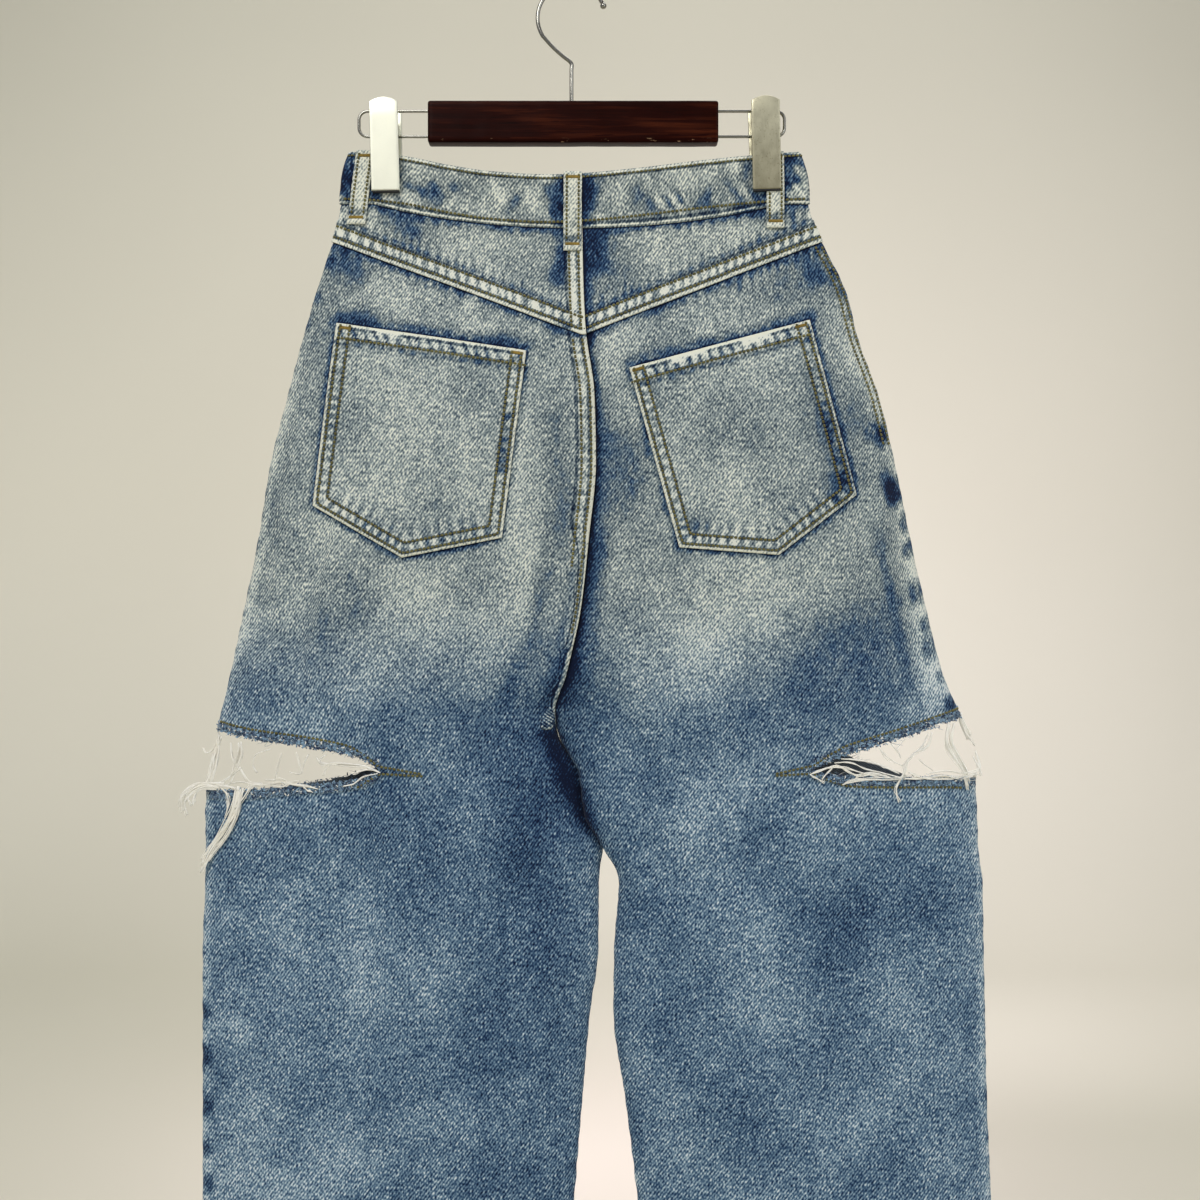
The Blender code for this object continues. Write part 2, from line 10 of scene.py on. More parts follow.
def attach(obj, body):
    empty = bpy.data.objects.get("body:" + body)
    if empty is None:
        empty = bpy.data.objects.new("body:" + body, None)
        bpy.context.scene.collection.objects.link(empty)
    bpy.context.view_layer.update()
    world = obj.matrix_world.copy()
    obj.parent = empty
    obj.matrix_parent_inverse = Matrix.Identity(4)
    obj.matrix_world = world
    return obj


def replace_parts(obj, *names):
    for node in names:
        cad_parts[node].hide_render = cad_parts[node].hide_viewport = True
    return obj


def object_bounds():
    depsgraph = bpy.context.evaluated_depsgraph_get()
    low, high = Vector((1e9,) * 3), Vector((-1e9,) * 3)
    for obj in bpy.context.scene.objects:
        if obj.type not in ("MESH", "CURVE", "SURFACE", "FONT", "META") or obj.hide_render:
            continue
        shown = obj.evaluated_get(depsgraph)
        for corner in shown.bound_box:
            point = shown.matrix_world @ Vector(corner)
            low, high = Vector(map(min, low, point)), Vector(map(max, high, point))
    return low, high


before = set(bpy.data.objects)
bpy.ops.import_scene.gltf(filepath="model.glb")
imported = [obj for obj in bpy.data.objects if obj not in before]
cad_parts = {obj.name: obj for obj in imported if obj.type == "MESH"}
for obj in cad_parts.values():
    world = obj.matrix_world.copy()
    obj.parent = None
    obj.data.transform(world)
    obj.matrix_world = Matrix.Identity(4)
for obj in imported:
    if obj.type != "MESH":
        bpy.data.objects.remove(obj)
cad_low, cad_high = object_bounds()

# Ripped jeans on a clip hanger. Sizes are in millimetres and are turned into metres as each mesh is made.
# The back of the jeans faces -Y, the wearer's right is +X, and the origin is the hang point.

MM = 0.001
SEAM = 0.3
CLOTH = 1.4
NEAR_ROW = 3.2          # the two rows of stitches along a folded edge
FAR_ROW = 10.3
YOKE_ROWS = 1.2         # how much wider apart they stand on the yoke
ROUNDNESS = 2.5
INWARD = {"L": 1, "R": -1}              # along X, from each half's outseam
OUTWARD = {"back": -1, "front": 1}      # along Y, from the middle of the cloth

# ---------------------------------------------------------------- the cut, as in the part

Section = namedtuple("Section", "height left_out left_in right_in right_out back front")
SECTIONS = [Section(*row) for row in (
    (-124, -165, 6, 6, 171, 18, 16),
    (-145, -171, 7, 7, 177, 18, 16),
    (-168, -172.5, 8, 8, 179, 18, 16),
    (-192, -178, 9, 9, 188, 19, 17),
    (-230, -190, 10, 10, 206, 20, 18),
    (-265, -200, 12, 12, 215, 22, 19),
    (-310, -212, 18, 18, 231, 25, 21),
    (-360, -224.5, 19, 19, 243, 27, 22),
    (-414, -233, 14, 14, 254, 28, 23),
    (-467, -244, 8, 8, 266, 28, 23),
    (-515, -254, -3, -3, 278, 27, 22),
    (-545, -261, -12, -12, 290, 26, 21),
    (-562, -264, -9, -9, 294, 25, 21),
    (-590, -270, 6, 6, 302, 24, 21),
    (-620, -273, 10, 10, 304, 24, 20),
    (-647, -272.5, 24.2, 25.2, 305, 23, 20),
    (-670, -273, 21.5, 36, 308, 22, 20),
    (-723, -275, 21, 32.5, 309, 21, 19),
    (-768, -275, 15, 32, 310, 20, 18),
    (-835, -275, 9, 41, 311.5, 19, 18),
    (-910, -275, 3, 50, 314.5, 18, 18),
    (-1060, -273, -6, 62, 317, 19, 19),
    (-1205, -270, -14, 74, 318, 22, 22),
)]
HEM = -1205
FORK = -562
FORK_START = -490
WAIST_MIDDLE = 4.5
CLIP_REACH = 143.5
WAIST_PINCHED = 3.1
WAIST_BOW = {"back": 7.5, "front": 10.0}
WAIST_LIP = 1.2
WAIST_FLAT = -168
HIP_OPEN = -285
WAIST_SIDE = -125
WAIST_SAG = {"back": 20, "front": 27}
SAG_REACH = 152
BAND_WIDTH = 39
# The waistband's top at the back, as (across, height).
WAIST_EDGE = [(-170, -124.5), (-150, -125.5), (-127, -128), (-88, -136.3), (-60, -141), (-16, -144),
              (9.5, -143), (50, -139), (93, -133), (135, -127.8), (160, -125.5), (176, -124.4)]
YOKE_SIDE = -192.5
YOKE_CENTRE = -265.5

# The slits, as (across, height of the upper edge, how far it gapes).
SLITS = {
    ("L", "back"): [(-272, -555, 48), (-232, -563, 37.5), (-196, -567.5, 29.5),
                    (-174, -571.5, 24), (-153, -576.5, 16), (-138, -585.2, 1.2), (6, -588.7, 0)],
    ("R", "back"): [(304, -544, 50), (278, -551, 41), (236, -564, 27.5), (206, -573, 17.5),
                    (188, -579.5, 9), (175, -585.0, 1.2), (6, -588.7, 0)],
    ("L", "front"): [(-272, -555, 51), (-232, -562, 43), (-196, -568, 31.5), (-168, -578, 16),
                     (-150, -585, 4.5), (-143, -588, 1.2), (6, -588.7, 0)],
    ("R", "front"): [(304, -544, 58), (262, -553, 48), (242, -560, 33), (222, -566, 19),
                     (207, -570.5, 9), (197, -574, 1.2), (6, -588.7, 0)],
}
DART_REACH = {"L": 31, "R": 25}    # how far the stitched dart goes past the slit's end
SLIT_END = {("L", "back"): -139, ("R", "back"): 176, ("L", "front"): -143, ("R", "front"): 197}

# Corners of the back pockets, as (across, height): top outer, top inner, bottom inner, tip, bottom outer.
BACK_POCKETS = {
    "L": [(-173, -255.5), (-32, -277.5), (-49.5, -415), (-123, -429.5), (-189.5, -391)],
    "R": [(177, -253.5), (43.5, -290.5), (80, -422), (153, -427.5), (211, -383)],
}
# Where the folded top of each back pocket is worn white.
WORN_HEMS = {"L": [(-142, -127)], "R": [(76, 99), (127, 146)]}
SCOOP_TURN = 0.75
SCOOP_DEPTH = 72
FACING_BELOW = 14
FACING_GAP = 0.8

Loop = namedtuple("Loop", "name face top bottom drop")
BELT_LOOPS = [
    Loop("belt_loop_centre", "back", 2.0, 1.6, 18),
    Loop("belt_loop_back_L", "back", -153, -160, 16),
    Loop("belt_loop_back_R", "back", 152.8, 153.2, 18),
    Loop("belt_loop_front_L", "front", -82, -84, 16),
    Loop("belt_loop_front_R", "front", 98, 100, 16),
]
LOOP_WIDTH = 13.4
FLY_LENGTH = 112
BAR_FOOT = -119.0        # the under side of the hanger's wooden bar

# ---------------------------------------------------------------- how it hangs, how it has worn, and painted shade

# Soft folds: where each starts, bends and ends on the face, how wide it is, and how far it stands out.
Fold = namedtuple("Fold", "start bend end width depth")
FOLDS = {
    "back": [
        ((-4, -300), (0, -440), (-44, -542), 13, -6.0),
        ((-31, -300), (-24, -420), (-40, -500), 11, 2.2),
        ((-40, -495), (-62, -545), (-70, -610), 16, -2.2),
        ((30, -420), (28, -500), (74, -572), 13, 2.6),
        ((36, -470), (34, -545), (60, -600), 11, -2.2),
        ((16, -560), (28, -610), (62, -700), 10, 1.8),
        ((226, -330), (232, -450), (254, -545), 6, 1.6),
        ((240, -330), (248, -450), (268, -540), 8, -1.8),
        ((-205, -300), (-222, -400), (-236, -520), 8, -1.2),
        ((-196, -310), (-208, -400), (-220, -500), 7, 1.0),
        ((100, -440), (112, -500), (150, -560), 22, -1.6),
        ((-104, -440), (-112, -500), (-150, -556), 20, -1.6),
        ((-30, -640), (-66, -720), (-82, -860), 20, -2.0),
        ((-8, -620), (-20, -740), (-34, -900), 14, 1.8),
        ((-170, -620), (-150, -760), (-180, -900), 24, -1.5),
        ((-214, -700), (-206, -860), (-222, -1040), 22, 1.8),
        ((-120, -880), (-104, -1000), (-128, -1150), 26, -2.0),
        ((210, -640), (190, -760), (214, -880), 24, -1.8),
        ((120, -640), (108, -760), (126, -900), 22, 1.7),
        ((86, -800), (96, -950), (104, -1150), 20, -1.8),
        ((250, -840), (240, -980), (262, -1140), 24, 1.8),
    ],
    "front": [
        ((8, -330), (-4, -440), (-40, -540), 13, -4.5),
        ((20, -340), (34, -450), (70, -540), 12, -3.6),
        ((-30, -320), (-70, -345), (-140, -350), 10, 1.8),
        ((-34, -350), (-80, -380), (-160, -385), 10, 1.5),
        ((46, -325), (90, -348), (160, -356), 11, 1.9),
        ((50, -360), (100, -384), (180, -398), 10, 1.4),
        ((-60, -560), (-120, -600), (-200, -615), 18, -2.0),
        ((90, -565), (150, -604), (240, -612), 18, -2.2),
        ((-110, -640), (-98, -780), (-120, -930), 24, 2.0),
        ((-190, -720), (-180, -880), (-204, -1060), 24, -1.9),
        ((170, -650), (186, -800), (166, -960), 24, 2.0),
        ((240, -760), (232, -900), (250, -1100), 24, -1.8),
    ],
}

# Where the wash has taken the colour down or left it, and darker ovals of painted shade in folds, at the
# crotch and along the left leg's inner edge: soft ovals on each face.
WashAndShade = namedtuple("WashAndShade", "across height reach rise amount")
WASHES_AND_SHADE = {
    "back": [
        (-112, -345, 80, 80, 0.045),
        (120, -345, 80, 80, 0.01),
        (-95, -475, 80, 55, 0.055),
        (115, -470, 70, 55, 0.15),
        (-75, -250, 60, 30, 0.05),
        (105, -262, 60, 28, 0.05),
        (-150, -212, 42, 22, -0.11),
        (183, -222, 34, 26, -0.17),
        (185, -300, 22, 70, -0.06),
        (-200, -300, 22, 90, -0.03),
        (-6, -215, 20, 26, -0.10),
        (22, -205, 24, 28, -0.13),
        # painted shade: the fold trough left of the seat seam, the crotch below the slits, and the left leg's
        # inner edge
        (-8, -500, 22, 40, -0.10),
        (-36, -596, 50, 40, -0.17),
        (-22, -760, 34, 110, -0.155),
        (72, -760, 24, 110, -0.05),
        (190, -492, 44, 46, -0.18),
        (-190, -492, 44, 44, -0.08),
        (75, -512, 42, 36, 0.08),
        (-55, -200, 46, 18, 0.08),
        (70, -160, 62, 15, -0.21),
        (-66, -162, 46, 14, 0.09),
        (50, -335, 24, 46, -0.06),
        (190, -500, 30, 40, -0.07),
        (-160, -225, 34, 14, 0.05),
        # painted shade at the crotch
        (-20, -545, 40, 45, -0.10),
        (50, -530, 36, 40, -0.10),
        (225, -500, 18, 60, -0.07),
        (272, -470, 14, 110, 0.14),
        (-98, -663, 55, 36, -0.09),
        (-72, -765, 34, 50, -0.09),
        (-200, -640, 60, 26, -0.03),
        (-215, -700, 46, 40, 0.05),
        (-150, -720, 36, 46, 0.07),
        (-190, -840, 60, 60, 0.05),
        (-60, -880, 60, 60, -0.04),
        (210, -725, 50, 50, -0.09),
        (120, -690, 50, 40, 0.05),
        (240, -820, 50, 60, 0.04),
        (130, -850, 60, 60, -0.05),
        (-200, -1000, 60, 100, 0.05),
        (190, -1040, 60, 110, 0.05),
        (80, -612, 46, 34, 0.05),
        (78, -212, 40, 18, 0.04),
        (216, -340, 14, 34, -0.05),
        (-185, -490, 40, 40, 0.04),
        (-175, -862, 70, 50, 0.04),
        (1, -259, 9, 8, -0.40),
        (-155, -250, 14, 8, -0.26),
        (-49, -268, 12, 7, -0.26),
        (198, -375, 9, 11, -0.30),
        (94, -405, 8, 5, -0.28),
    ],
    "front": [
        (-120, -470, 60, 110, 0.14),
        (145, -470, 60, 110, 0.14),
        (-130, -760, 60, 90, 0.10),
        (175, -760, 60, 90, 0.10),
        (0, -300, 40, 90, -0.08),
        (-190, -240, 26, 50, -0.10),
        (195, -240, 26, 50, -0.10),
    ],
}
# Dark and pale strokes on the back: many are painted shade in fold troughs, beside the seat seam and at the
# crotch, and painted highlights on fold crests; the rest darken the cloth round the waistband, loops and
# yoke. Where each starts, bends and ends, its width, and what it adds.
ShadeToneStroke = namedtuple("ShadeToneStroke", "start bend end width amount")
SHADE_AND_TONE_STROKES = [
    # painted shadow beside the seat seam, down to the crotch
    ((25, -290), (27, -380), (20, -440), 4.5, -0.14),
    ((24, -395), (20, -455), (10, -500), 6.0, -0.26),
    ((12, -480), (4, -525), (-8, -545), 7.0, -0.22),
    # painted shade in the fold troughs left of the seat seam, with painted highlights on their crests
    ((0, -350), (-12, -458), (-56, -552), 5.5, -0.27),
    ((-30, -288), (-32, -370), (-38, -460), 5.0, 0.15),
    ((-12, -300), (-7, -375), (-12, -440), 8.0, -0.16),
    ((-20, -410), (-38, -480), (-70, -548), 11.0, 0.10),
    ((40, -325), (42, -390), (50, -450), 13.0, -0.12),
    ((181, -300), (190, -350), (202, -412), 9.0, -0.14),
    ((205, -262), (221, -298), (232, -330), 8.0, 0.15),
    ((219, -328), (227, -338), (237, -347), 6.0, -0.42),
    ((217, -330), (227, -337), (238, -346), 1.6, 0.40),
    ((228, -362), (238, -374), (250, -390), 8.0, -0.36),
    ((242, -380), (258, -465), (279, -552), 12.0, 0.22),
    # painted fold shadow along the inner side of the pale strip
    ((222, -385), (238, -468), (259, -552), 4.5, -0.16),
    ((-150, -171), (-130, -178), (-106, -190), 8.0, -0.28),
    ((0, -180), (-5, -205), (-14, -236), 6.0, -0.36),
    ((15, -148), (15, -162), (14, -176), 6.0, -0.34),
    ((20, -182), (21, -200), (22, -224), 7.0, -0.34),
    ((-16, -146), (-14, -160), (-10, -178), 7.0, -0.36),
    ((-128, -149), (-118, -152), (-106, -157), 3.6, -0.30),
    ((118, -166), (134, -170), (150, -175), 6.0, -0.30),
    ((157, -165), (164, -170), (170, -180), 6.0, -0.16),
    ((160, -128), (168, -131), (178, -138), 3.0, -0.34),
    ((159, -151), (168, -147), (178, -144), 2.6, -0.30),
    ((132, -128), (132, -139), (129, -152), 5.0, -0.24),
    ((-178, -128), (-168, -140), (-164, -160), 5.0, -0.20),
    ((166, -196), (178, -210), (190, -230), 10.0, -0.24),
    ((-178, -196), (-168, -210), (-150, -228), 10.0, -0.22),
    # a painted highlight on a fold crest, with painted shade below it
    ((34, -470), (42, -520), (64, -562), 6.0, 0.07),
    ((20, -520), (34, -556), (70, -575), 8.0, -0.06),
    # painted shadow in the crotch fold
    ((-19, -548), (0, -602), (19, -640), 7.5, -0.55),
    ((-10, -570), (-30, -620), (-34, -690), 20.0, -0.08),
    ((8, -618), (17, -634), (25, -648), 4.0, -0.25),
]
# Spots where the folded outseam has kept its indigo, as (across, height, size).
INDIGO_SPOTS = [(232, -337, 4), (240, -380, 7), (250, -404, 4), (253, -423, 5), (259, -454, 7),
                (266, -479, 5), (269, -496, 7), (276, -517, 4), (283, -537, 5), (-272, -768, 4),
                (-272, -800, 5), (-271, -838, 5), (-271, -870, 4), (-270, -895, 5)]
# How pale the cloth is, and how much the wash has yellowed it, by height.
PALENESS = [(-120, 0.75), (-190, 0.67), (-260, 0.655), (-340, 0.655), (-440, 0.65), (-500, 0.61),
            (-556, 0.56), (-600, 0.54), (-720, 0.555), (-900, 0.57), (-1060, 0.59), (-1205, 0.59)]
YELLOWING = [(-120, 0.95), (-260, 0.8), (-440, 0.75), (-500, 0.45), (-560, 0.1), (-700, 0.0), (-1205, 0.0)]

# ---------------------------------------------------------------- sums


def mix(a, b, share):
    return a + (b - a) * share


def ramp(value, start, end):
    """0 at start, 1 at end, smooth at both."""
    share = np.clip((value - start) / (end - start), 0.0, 1.0)
    return share * share * (3 - 2 * share)


def fade(value, start, end):
    return 1 - ramp(value, start, end)


def window(value, start, end, soft):
    return ramp(value, start - soft, start) * fade(value, end, end + soft)


def flowing(knots, values, at):
    """A smooth curve through values, which never swings past them."""
    knots = np.asarray(knots, float)
    values = np.asarray(values, float)
    at = np.asarray(at, float)
    if knots[0] > knots[-1]:
        knots = -knots
        at = -at
    at = np.clip(at, knots[0], knots[-1])
    slopes = np.diff(values) / np.diff(knots)
    product = slopes[:-1] * slopes[1:]
    total = slopes[:-1] + slopes[1:]
    inner = np.where(product > 0, 2 * product / np.where(total == 0, 1, total), 0.0)
    tangents = np.concatenate([slopes[:1], inner, slopes[-1:]])
    i = np.clip(np.searchsorted(knots, at, side="right") - 1, 0, len(knots) - 2)
    span = knots[i + 1] - knots[i]
    t = (at - knots[i]) / span
    rise = (1 + 2 * t) * (1 - t) ** 2 * values[i] + t * t * (3 - 2 * t) * values[i + 1]
    return rise + span * (t * (1 - t) ** 2 * tangents[i] - t * t * (1 - t) * tangents[i + 1])


HEIGHTS = [row.height for row in SECTIONS]
COLUMNS = {name: [getattr(row, name) for row in SECTIONS] for name in Section._fields}


def level_at(height, column):
    return flowing(HEIGHTS, COLUMNS[column], height)


def rounded(value):
    """Turn a cosine or sine of a circle into that of the super-ellipse."""
    return np.sign(value) * np.abs(value) ** (2 / ROUNDNESS)


def chance(place, seed):
    """A fixed random number from 0 to 1 for each whole place."""
    wave = np.sin(place * 12.9898 + seed * 78.233) * 43758.5453
    return wave - np.floor(wave)


def wobble(run, pitch, seed):
    """Smooth noise from -1 to 1 along a line."""
    place = np.asarray(run, float) / pitch
    low = np.floor(place)
    share = place - low
    share = share * share * (3 - 2 * share)
    return 2 * mix(chance(low, seed), chance(low + 1, seed), share) - 1


def patchy(across, height, pitch, seed):
    """Smooth noise from -1 to 1 over a face."""
    x = np.asarray(across, float) / pitch
    z = np.asarray(height, float) / pitch
    i, j = np.floor(x), np.floor(z)
    u, v = x - i, z - j
    u, v = u * u * (3 - 2 * u), v * v * (3 - 2 * v)
    corner = [chance(i + a + 57.0 * (j + b), seed) for b in (0, 1) for a in (0, 1)]
    return 2 * mix(mix(*corner[:2], u), mix(*corner[2:], u), v) - 1


def rope(run, pitch, seed):
    """Uneven puckers along a seam, from -1 to 1."""
    return np.sin(2 * pi * (run / pitch + 0.55 * wobble(run, 2.6 * pitch, seed))) * (
        0.7 + 0.3 * wobble(run, 3.1 * pitch, seed + 5))


def spaced(length, cell, first, last, reach=12.0):
    """Shares from 0 to 1 that are close together at the ends, where first and last give the spacing."""
    places = [0.0]
    while places[-1] < length:
        at = places[-1]
        start = mix(first, cell, float(ramp(at, 0, reach)))
        end = mix(last, cell, float(ramp(length - at, 0, reach)))
        places.append(at + min(start, end))
    return np.array(places) / places[-1]


def near_line(across, height, line):
    """How far each point of a face is from a bent line, and how far along the line its foot lies."""
    best = np.full(np.shape(across), 1e9)
    run = np.zeros(np.shape(across))
    so_far = 0.0
    for (x0, z0), (x1, z1) in zip(line, line[1:]):
        dx, dz = x1 - x0, z1 - z0
        length = max(1e-9, (dx * dx + dz * dz) ** 0.5)
        share = np.clip(((across - x0) * dx + (height - z0) * dz) / length ** 2, 0, 1)
        gap = np.hypot(across - x0 - share * dx, height - z0 - share * dz)
        closer = gap < best
        best = np.where(closer, gap, best)
        run = np.where(closer, so_far + share * length, run)
        so_far += length
    return best, run


def near_curve(across, height, row, dying, count):
    """1 on a row's curve, from its start by its bend to its end, and 0 well away from it. The share of its
    length over which it dies away at each end is dying, and count is how many points it is made of."""
    line = [tuple((1 - t) ** 2 * a + 2 * t * (1 - t) * b + t * t * c
                  for a, b, c in zip(row.start, row.bend, row.end)) for t in np.linspace(0, 1, count)]
    gap, run = near_line(across, height, line)
    length = sum(np.hypot(b[0] - a[0], b[1] - a[1]) for a, b in zip(line, line[1:]))
    fading = window(run, dying * length, (1 - dying) * length, dying * length)
    return fading * np.exp(-(gap / row.width) ** 2)


def inside(across, height, corners):
    """Which points lie inside a convex outline."""
    signs = []
    for (x0, z0), (x1, z1) in zip(corners, corners[1:] + corners[:1]):
        signs.append((x1 - x0) * (height - z0) - (z1 - z0) * (across - x0))
    signs = np.array(signs)
    return np.all(signs >= 0, axis=0) | np.all(signs <= 0, axis=0)


# ---------------------------------------------------------------- where the cloth lies


def outer_inner(half, height):
    if half == "L":
        return level_at(height, "left_out"), level_at(height, "left_in") - SEAM / 2
    return level_at(height, "right_out"), level_at(height, "right_in") + SEAM / 2


def last_angle(height):
    return pi / 2 * (1 + ramp(height, FORK_START, FORK))


def waist_depth(face, across):
    reach = np.abs(across - WAIST_MIDDLE) / CLIP_REACH
    bow = WAIST_BOW[face] * np.maximum(0.0, 1 - reach * reach) ** 1.5
    return WAIST_PINCHED + bow + WAIST_LIP * ramp(reach, 1.05, 1.2)


def bare_point(half, face, turn, height):
    """A point of the outer face of a panel. turn is 0 at the outseam and 1 at the centre or the inseam."""
    outer, inner = outer_inner(half, height)
    end = last_angle(height)
    angle = turn * end
    share = (1 - rounded(np.cos(angle))) / (1 - rounded(np.cos(end)))
    across = mix(outer, inner, share)
    full = level_at(height, face) * rounded(np.sin(angle))
    pressed = waist_depth(face, across) * np.sqrt(np.abs(np.sin(angle)))
    depth = SEAM / 2 + mix(pressed, full, ramp(height, WAIST_FLAT, HIP_OPEN))
    return np.stack(np.broadcast_arrays(across, -depth if face == "back" else depth, height), -1)


def facing(half, face, turn, height):
    step = np.where(turn < 0.5, 0.01, -0.01)
    here = bare_point(half, face, turn, height)
    across = (bare_point(half, face, turn + step, height) - here) / step[..., None]
    down = bare_point(half, face, turn, height - 1) - bare_point(half, face, turn, height + 1)
    normal = np.cross(across, down)
    normal /= np.linalg.norm(normal, axis=-1, keepdims=True)
    outer, inner = outer_inner(half, height)
    outward = normal[..., 0] * (here[..., 0] - mix(outer, inner, 0.5)) + normal[..., 1] * here[..., 1]
    return np.where(outward[..., None] < 0, -normal, normal)


def folds(face, across, height):
    """How far the hanging folds move the cloth out or in."""
    swell = 0.5 * patchy(across, height, 46, 3) + 0.3 * patchy(across, height, 23, 4)
    for row in FOLDS[face]:
        fold = Fold(*row)
        swell += fold.depth * near_curve(across, height, fold, 0.28, 14)
    return swell


CROSSING = {"L": 4.0, "R": -5.5}    # how far each leg's inner edge leans along Y below the fork
TUCKED = 3.0                        # how far the left leg's inner edge goes behind the right leg


def cloth(half, face, turn, height, lift=0.0):
    """The cloth as it hangs, moved out by lift."""
    turn, height = np.broadcast_arrays(np.asarray(turn, float), np.asarray(height, float))
    point = bare_point(half, face, turn, height)
    free = ramp(turn, 0.0, 0.08) * fade(turn, 0.94, 1.0) * fade(height, -200, -170)
    swell = folds(face, point[..., 0], height) * free
    point = point + facing(half, face, turn, height) * (lift + swell)[..., None]
    inner = ramp(height, -560, -590) * fade(height, -636, -720) * ramp(turn, 0.72, 1.0)
    point[..., 1] += inner * CROSSING[half]
    if half == "L":
        point[..., 0] += TUCKED * ramp(height, -564, -588) * fade(height, -628, -643) * ramp(turn, 0.9, 1.0)
    return point


def turn_of(half, across, height):
    """How far round a half an across position lies."""
    outer, inner = outer_inner(half, height)
    end = last_angle(height)
    share = (across - outer) / (inner - outer)
    flat = 1 - share * (1 - rounded(np.cos(end)))
    cosine = np.sign(flat) * np.abs(flat) ** (ROUNDNESS / 2)
    return np.arccos(np.clip(cosine, -1, 1)) / end


def on_face(face, across, height, lift):
    """Points above the cloth, by their place across and their height."""
    across, height, lift = np.broadcast_arrays(*(np.asarray(v, float) for v in (across, height, lift)))
    left = across < level_at(height, "left_in")
    found = np.empty(across.shape + (3,))
    for half, mask in (("L", left), ("R", ~left)):
        if mask.any():
            turn = turn_of(half, across[mask], height[mask])
            found[mask] = cloth(half, face, turn, height[mask], lift[mask])
    return found


def settle(half, face, turn, edge):
    """The height at which each column of the cloth meets an edge curve."""
    height = edge(np.zeros_like(turn))
    for _ in range(5):
        height = edge(bare_point(half, face, turn, height)[..., 0])
    return height


def waist_foot(face, gap=0.0):
    def edge(across):
        reach = (across - WAIST_MIDDLE) / SAG_REACH
        return WAIST_SIDE - WAIST_SAG[face] * np.maximum(0.0, 1 - reach * reach) - BAND_WIDTH - gap
    return edge


def waist_top(face):
    def edge(across):
        return flowing(*zip(*WAIST_EDGE), across)
    return edge if face == "back" else waist_foot(face, -BAND_WIDTH)


def yoke_seam(half, gap=0.0):
    outer, inner = outer_inner(half, YOKE_SIDE)

    def edge(across):
        share = np.clip((across - outer) / (inner - outer), 0.0, 1.0)
        return mix(YOKE_SIDE, YOKE_CENTRE, share) - gap
    return edge


def scoop_edge(half, below=0.0, gap=0.0):
    """The front's top edge: the mouth of the pocket near the side, and the waistband's foot past it."""
    band = waist_foot("front", gap)
    outer = outer_inner(half, WAIST_FLAT)[0]
    mouth = bare_point(half, "front", SCOOP_TURN, WAIST_FLAT)[0]

    def edge(across):
        share = np.clip((across - outer) / (mouth - outer), 0.0, 1.0)
        return band(across) - SCOOP_DEPTH * np.sqrt(1 - share * share) - below
    return edge


def slit_edges(half, face):
    """The upper and the lower raw edge of a slit, as curves over the place across."""
    knots, tops, gapes = zip(*SLITS[half, face])

    def upper(across):
        return flowing(knots, tops, across)

    def gape(across):
        return flowing(knots, gapes, across)
    return upper, gape


# ---------------------------------------------------------------- colour by place


def by_height(table, height):
    return flowing(*zip(*table), height)


def paleness(face, across, height):
    pale = by_height(PALENESS, height)
    # The ovals include painted shade in folds and at the crotch.
    for row in WASHES_AND_SHADE[face]:
        oval = WashAndShade(*row)
        gap = ((across - oval.across) / oval.reach) ** 2 + ((height - oval.height) / oval.rise) ** 2
        pale += oval.amount * np.exp(-gap)
    if face == "back":
        # The strokes paint shade in fold troughs, beside the seat seam and at the crotch, and highlights on
        # fold crests.
        for row in SHADE_AND_TONE_STROKES:
            shade_stroke = ShadeToneStroke(*row)
            pale += shade_stroke.amount * near_curve(across, height, shade_stroke, 0.25, 8)
        for x, z, size in INDIGO_SPOTS:
            gap = np.hypot((across - x) / size, (height - z) / (1.35 * size))
            pale -= 0.5 * fade(gap, 0.55, 1.5)
    return pale


# ---------------------------------------------------------------- meshes

SEWN = {"back": [], "front": []}    # the outer faces that stitches can be laid on
FAR = 40.0              # a distance from an edge too great to matter, in mm


def shape(name, points, faces, slot, finishes, marks=None, cloth_map=None, smooth=True):
    """A mesh object in metres, which rides on the one body."""
    mesh = bpy.data.meshes.new(name)
    mesh.from_pydata((np.asarray(points) * MM).tolist(), [], faces)
    for mark, values in (marks or {}).items():
        layer = mesh.attributes.new(mark, "FLOAT", "POINT")
        layer.data.foreach_set("value", np.ascontiguousarray(values, dtype=np.float32).ravel())
    if cloth_map is not None:
        corners = np.empty(len(mesh.loops), np.int32)
        mesh.loops.foreach_get("vertex_index", corners)
        layer = mesh.uv_layers.new(name="cloth")
        layer.data.foreach_set("uv", np.asarray(cloth_map, np.float32)[corners].ravel())
    if smooth:
        mesh.shade_smooth()
    for finish in finishes:
        mesh.materials.append(finish)
    piece = bpy.data.objects.new(name, mesh)
    bpy.context.scene.collection.objects.link(piece)
    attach(piece, "root")
    return piece


def thicken(piece, thick, inside=0):
    """Give a face of cloth its thickness. inside is how many finishes later the reverse has its own."""
    wall = piece.modifiers.new("thickness", "SOLIDIFY")
    wall.thickness = thick * MM
    wall.offset = -1
    wall.material_offset = inside


def grid_faces(ids, flip, skip=()):
    """Four-sided faces between the rows of a grid of point numbers. A row in skip has none below it."""
    rings = [(ids[r][c], ids[r][c + 1], ids[r + 1][c + 1], ids[r + 1][c])
             for r in range(len(ids) - 1) if r not in skip for c in range(len(ids[0]) - 1)]
    return [ring[::-1] for ring in rings] if flip else rings


def marks_of(pale, cream, ridge=0.0, edge=FAR, rim=FAR, fray=0.0):
    """The marks that the denim's finish reads: how pale it is, with painted shade and highlights counted in,
    how yellow it is, what puckers and painted shadows beside seams add, how far off a piece sewn over it
    (near which the finish paints shade) and a folded edge are, and how frayed it is."""
    return {"pale": pale, "cream": cream, "ridge": ridge, "edge": edge, "rim": rim, "fray": fray}


def wear_and_shade_marks(face, x, z, paler=0.0, **others):
    return marks_of(paleness(face, x, z) + paler, by_height(YELLOWING, z), **others)


